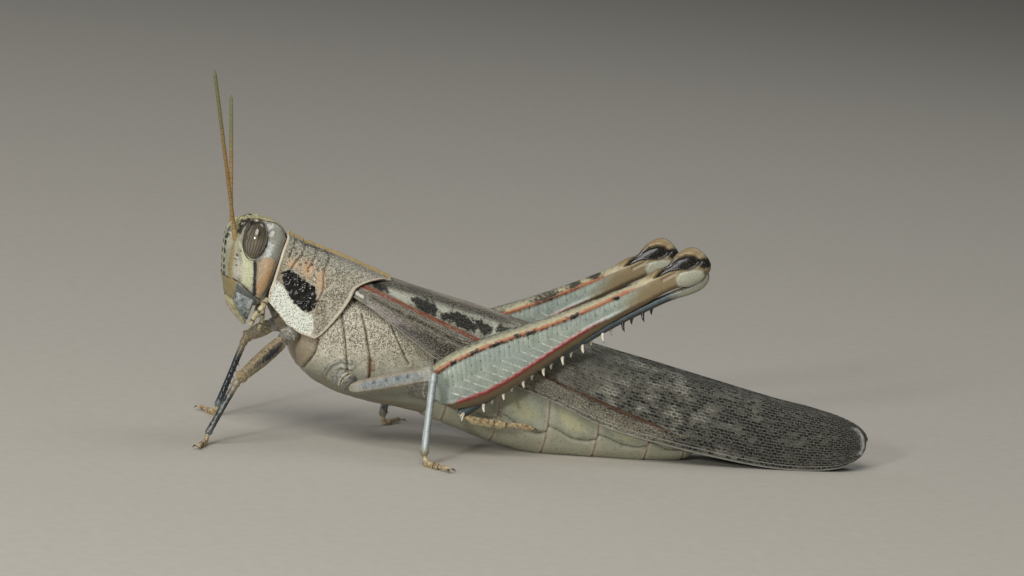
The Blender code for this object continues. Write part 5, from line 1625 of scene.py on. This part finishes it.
def makeHindTibia(label, side, hip, axes, skin, spineSkin):
    # Returns the middle line, so that the tarsus can start at its end.
    along, across, up = axes
    ringCount, around = tibiaPlan["grid"]
    _, rows = smoothRows(tibiaPlan["rows"], ringCount, [0, 1])
    path = hip + along * rows[:, 0:1] + up * rows[:, 1:2]
    width = np.interp(rows[:, 0], *tibiaPlan["halfWidth"])
    grid = tubeGrid(path, width, rows[:, 2], None, around, 2.2, sideways=across)
    s, h = (grid - hip) @ along, (grid - path[:, None]) @ up
    out = (grid - path[:, None]) @ across * side
    fields = {"under": h + 0.12, "knee": 23.6 - s, "sheen": np.abs(h - 0.12) - 0.08 + only(out > 0)}
    name = "hind_tibia_" + label
    addPiece(name, patch(grid, fields), skin, "tibia", name)
    spines = []
    count, radius = tibiaPlan["spines"], tibiaPlan["spineRadius"]
    for turn in (1, -1):
        outward = across * side * turn
        for i in range(count):
            place = int(len(path) * (0.27 + 0.7 * (i + 0.25 * turn) / count))
            root = path[place] - up * 0.25 + outward * 0.18
            spines.append(spine(root, root - up * 0.8 + outward * 0.42 - along * 0.3, radius, i < 2))
        end = path[-6] + outward * 0.2
        for drop in (0.3, 0.75):
            tip = end - along * 0.75 - up * drop + outward * 0.3
            spines.append(spine(end, tip, tibiaPlan["spurRadius"], False))
    addPiece("hind_spines_" + label, spines, spineSkin, "tibia")
    return path


def makeHindLegs(coxaSkin):
    femurSkin = cuticle("femurShell", femurPlan)
    tibiaSkin = cuticle("hindTibiaShell", tibiaPlan)
    spineSkin, tarsusSkin = cuticle("spineHorn", spineLook), cuticle("tarsusShell", tarsusLook)
    for side, leg in hindLegs.items():
        label = sideName[side]
        hip = np.array(leg["hip"])
        along = unit(np.array(leg["knee"]) - hip)
        across = unit(np.cross(along, (0, 0, 1)))
        up = np.cross(across, along)
        makeCoxa("hind_coxa_" + label, leg, 1.05, 1.3, coxaSkin)
        makeHindFemur("hind_femur_" + label, side, hip, (along, across, up), femurSkin)
        path = makeHindTibia(label, side, hip, (along, across, up), tibiaSkin, spineSkin)
        ankle = path[-1] - up * 0.75 + along * 0.3
        makeTarsus("hind_tarsus_" + label, path[-2], ankle, leg["toe"], tarsusSkin, 1.25)
    print("hind legs made")
    return tarsusSkin, spineSkin


# Each leg's joints, its thickest half heights, and how thick the femur is from the hip to the knee
walkingLegs = {
    "front": {
        "legs": {
            left: {
                "coxa": (2.3, 7.0, 10.6), "hip": (4.2, 5.5, 9.5), "knee": (7.6, 1.2, 6.3),
                "ankle": (7.5, -1.2, 0.95), "toe": (10.3, -2.4, 0.3),
            },
            right: {
                "coxa": (-2.3, 7.0, 10.6), "hip": (-4.1, 5.7, 9.6), "knee": (-8.0, 4.4, 7.85),
                "ankle": (-7.5, 2.15, 0.95), "toe": (-10.1, 1.0, 0.3),
            },
        },
        "femurGirth": 0.7, "tibiaGirth": 0.33, "coxaGirth": 0.9,
        "taper": (0.25, 0.62, 0.9, 1.0, 0.93, 0.74, 0.78, 0.84, 0.66, 0.35),
        "femurLook": {
            "base": ("#827763", "#a39a80"), "patch": 0.5, "bump": 0.5, "roughness": 0.45, "grain": 0.25,
            "marks": {
                "hip": {"colour": "#c6bda0"},
                "knee": {"colour": "#a99a78", "soft": 0.25},
                "edge": {"colour": "#9a8560", "soft": 0.15, "wobble": 0.4, "strength": 0.5},
                "stain": {"colour": "#1c2836", "soft": 0.12, "wobble": 0.7},
            },
            "specks": ({"size": 0.2, "radius": 0.5, "colour": "#4d473a"},),
        },
        "tibiaLook": {
            "base": ("#22272a", "#353b3f"), "patch": 0.6, "pits": 0.12, "bump": 0.3, "roughness": 0.3,
            "marks": {
                "upper": {"colour": "#8f826a", "soft": 0.6, "wobble": 0.6},
                # streak: a thin pale line down the shin, a painted highlight
                "streak": {"colour": "#a5a79f", "soft": 0.08, "wobble": 0.6, "strength": 0.7},
                "lower": {"colour": "#6d7678"},
            },
            "specks": ({"size": 0.2, "radius": 0.3, "colour": "#1c1f21", "strength": 0.7},),
        },
    },
    "middle": {
        "legs": {
            left: {
                "coxa": (2.6, 11.2, 6.9), "hip": (4.9, 12.7, 5.8), "knee": (9.1, 19.2, 8.35),
                "ankle": (11.6, 18.5, 0.95), "toe": (14.3, 20.4, 0.3),
            },
            right: {
                "coxa": (-2.6, 11.2, 6.9), "hip": (-4.9, 12.7, 5.8), "knee": (-8.8, 19.4, 8.3),
                "ankle": (-7.9, 18.5, 0.95), "toe": (-10.2, 20.8, 0.3),
            },
        },
        "femurGirth": 0.78, "tibiaGirth": 0.38, "coxaGirth": 1.1,
        "taper": (0.15, 0.5, 0.72, 0.85, 0.97, 0.9, 0.95, 1.0, 0.8, 0.4),
        "femurLook": {
            "base": ("#858d90", "#a4aaa7"), "patch": 0.6, "bump": 0.4, "roughness": 0.4, "grain": 0.18,
            "marks": {
                "edge": {"colour": "#a58f6d", "soft": 0.15, "wobble": 0.4, "strength": 0.55},
                "spots": {"colour": "#49555f", "soft": 0.12, "strength": 0.9},
                "hip": {"colour": "#a9a591", "soft": 0.8, "wobble": 0.5},
                "knee": {"colour": "#b9b8a6", "strength": 0.6},
            },
            "specks": ({"size": 0.18, "radius": 0.46, "colour": "#6d7069", "strength": 0.6},),
        },
        "tibiaLook": {
            "base": ("#98a4a6", "#b4bebc"), "patch": 0.7, "pits": 0.12, "bump": 0.2, "roughness": 0.3,
            "marks": {
                "shade": {"colour": "#5f6d72", "soft": 0.15, "strength": 0.8},
                # streak: a thin pale line down the shin, a painted highlight
                "streak": {"colour": "#e4e9e4", "soft": 0.1, "strength": 0.7},
                "lower": {"colour": "#8d8770"},
            },
            "specks": ({"size": 0.22, "radius": 0.24, "colour": "#68727a", "strength": 0.6},),
        },
    },
}


def makeThigh(name, side, hip, knee, settings, skin):
    thigh = unit(knee - hip)
    reach = np.linalg.norm(knee - hip) + 0.5
    t = np.linspace(0, 1, 170)
    path = hip - thigh * 0.5 + thigh * reach * t[:, None]
    shares = (0, 0.03, 0.1, 0.3, 0.6, 0.83, 0.9, 0.955, 0.985, 1)
    girth = settings["femurGirth"] * np.interp(t, shares, settings["taper"])
    grid = tubeGrid(path, girth * 0.8, girth, (0, 0, 1), 72, 2.3)
    across = unit(np.cross(thigh, (0, 0, 1)))
    up = np.cross(across, thigh)
    out = (grid - path[:, None]) @ across * side * np.sign(across[0] or 1)
    h = (grid - path[:, None]) @ up
    share = t[:, None] + 0 * h
    rise = np.abs(h) / girth[:, None]
    spots = np.min([np.hypot((share - at) * reach, h - 0.14) for at in (0.32, 0.47, 0.6, 0.72)], axis=0)
    stain = np.hypot((share - 0.36) * reach / 3.1, (h - 0.12) / 0.62) * 0.6 - 0.32
    fields = {
        "stain": stain + only(out > -0.1),
        "hip": (share - 0.12) * reach,
        "knee": (0.86 - share) * reach,
        "edge": 0.55 - rise,
        "spots": spots - 0.17,
    }
    height = 0.05 * bump(np.abs(rise - 0.72), 0.12) - 0.08 * bump((share - 0.87) * reach, 0.08)
    height += 0.02 * softNoise(grid, 0.3, 19)
    addPiece(name, patch(raised(grid, height), fields), skin, "leg", name)


def makeShin(name, side, knee, ankle, settings, skin, spineSkin):
    # Returns its direction; name has a gap for the sub-part.
    shin = unit(ankle - knee)
    length = np.linalg.norm(ankle - knee)
    t = np.linspace(0, 1, 170)
    path = knee + shin * length * t[:, None]
    shares = (0, 0.03, 0.09, 0.16, 0.55, 0.88, 0.96, 1)
    girth = settings["tibiaGirth"] * np.interp(t, shares, (0.6, 1.1, 1.2, 0.95, 0.88, 0.95, 1.1, 0.7))
    grid = tubeGrid(path, girth, girth, (0, 1, 0), 48)
    away = unit(np.cross(shin, (0, 1, 0)))
    offset = grid - path[:, None]
    around = offset @ away * np.sign(away[0]) * side
    share = t[:, None] + 0 * around
    fields = {
        # A thin pale line down the outer side of the shin, a painted highlight
        "streak": np.abs(offset[..., 1] + 0.1) - 0.06 + only(around > 0),
        "shade": 0.12 - offset[..., 1],
        "upper": (share - 0.22) * length,
        "lower": (0.92 - share) * length,
    }
    height = -0.05 * bump((share - 0.13) * length, 0.1) + 0.012 * softNoise(grid, 0.3, 20)
    addPiece(name.format("tibia"), patch(raised(grid, height), fields), skin, "tibia", name.format("tibia"))
    inward = unit(np.array([-side, 0.4, 0.0]))
    spines = []
    for i in range(7):
        for turn in (1, -1):
            root = knee + shin * length * (0.34 + 0.09 * i + 0.02 * turn)
            root = root + inward * settings["tibiaGirth"] * 0.6 + np.array([0, turn * 0.14, 0])
            tip = root + inward * 0.3 + shin * 0.34 + np.array([0, turn * 0.12, 0])
            spines.append(spine(root, tip, 0.06, True))
    addPiece(name.format("spines"), spines, spineSkin, "tibia")
    return shin


def makeWalkingLegs(coxaSkin, tarsusSkin, spineSkin):
    for label, settings in walkingLegs.items():
        femurSkin = cuticle(label + "FemurShell", settings["femurLook"])
        tibiaSkin = cuticle(label + "TibiaShell", settings["tibiaLook"])
        for side, leg in settings["legs"].items():
            name = label + "_{}_" + sideName[side]
            hip, knee, ankle = (np.array(leg[key]) for key in ("hip", "knee", "ankle"))
            makeCoxa(name.format("coxa"), leg, settings["coxaGirth"], 0.9, coxaSkin)
            makeThigh(name.format("femur"), side, hip, knee, settings, femurSkin)
            shin = makeShin(name, side, knee, ankle, settings, tibiaSkin, spineSkin)
            foot = ankle - np.array([0, 0, 0.63])
            makeTarsus(name.format("tarsus"), ankle - shin * 0.15, foot, leg["toe"], tarsusSkin)
    print("walking legs made")


makeStage()
head = makeHead()
makeEyes(head)
makeAntennae()
makeMouth()
makePronotum()
makeThorax()
makeAbdomen()
makeWings()
coxaSkin = cuticle("coxaShell", coxaLook)
tarsusSkin, spineSkin = makeHindLegs(coxaSkin)
makeWalkingLegs(coxaSkin, tarsusSkin, spineSkin)
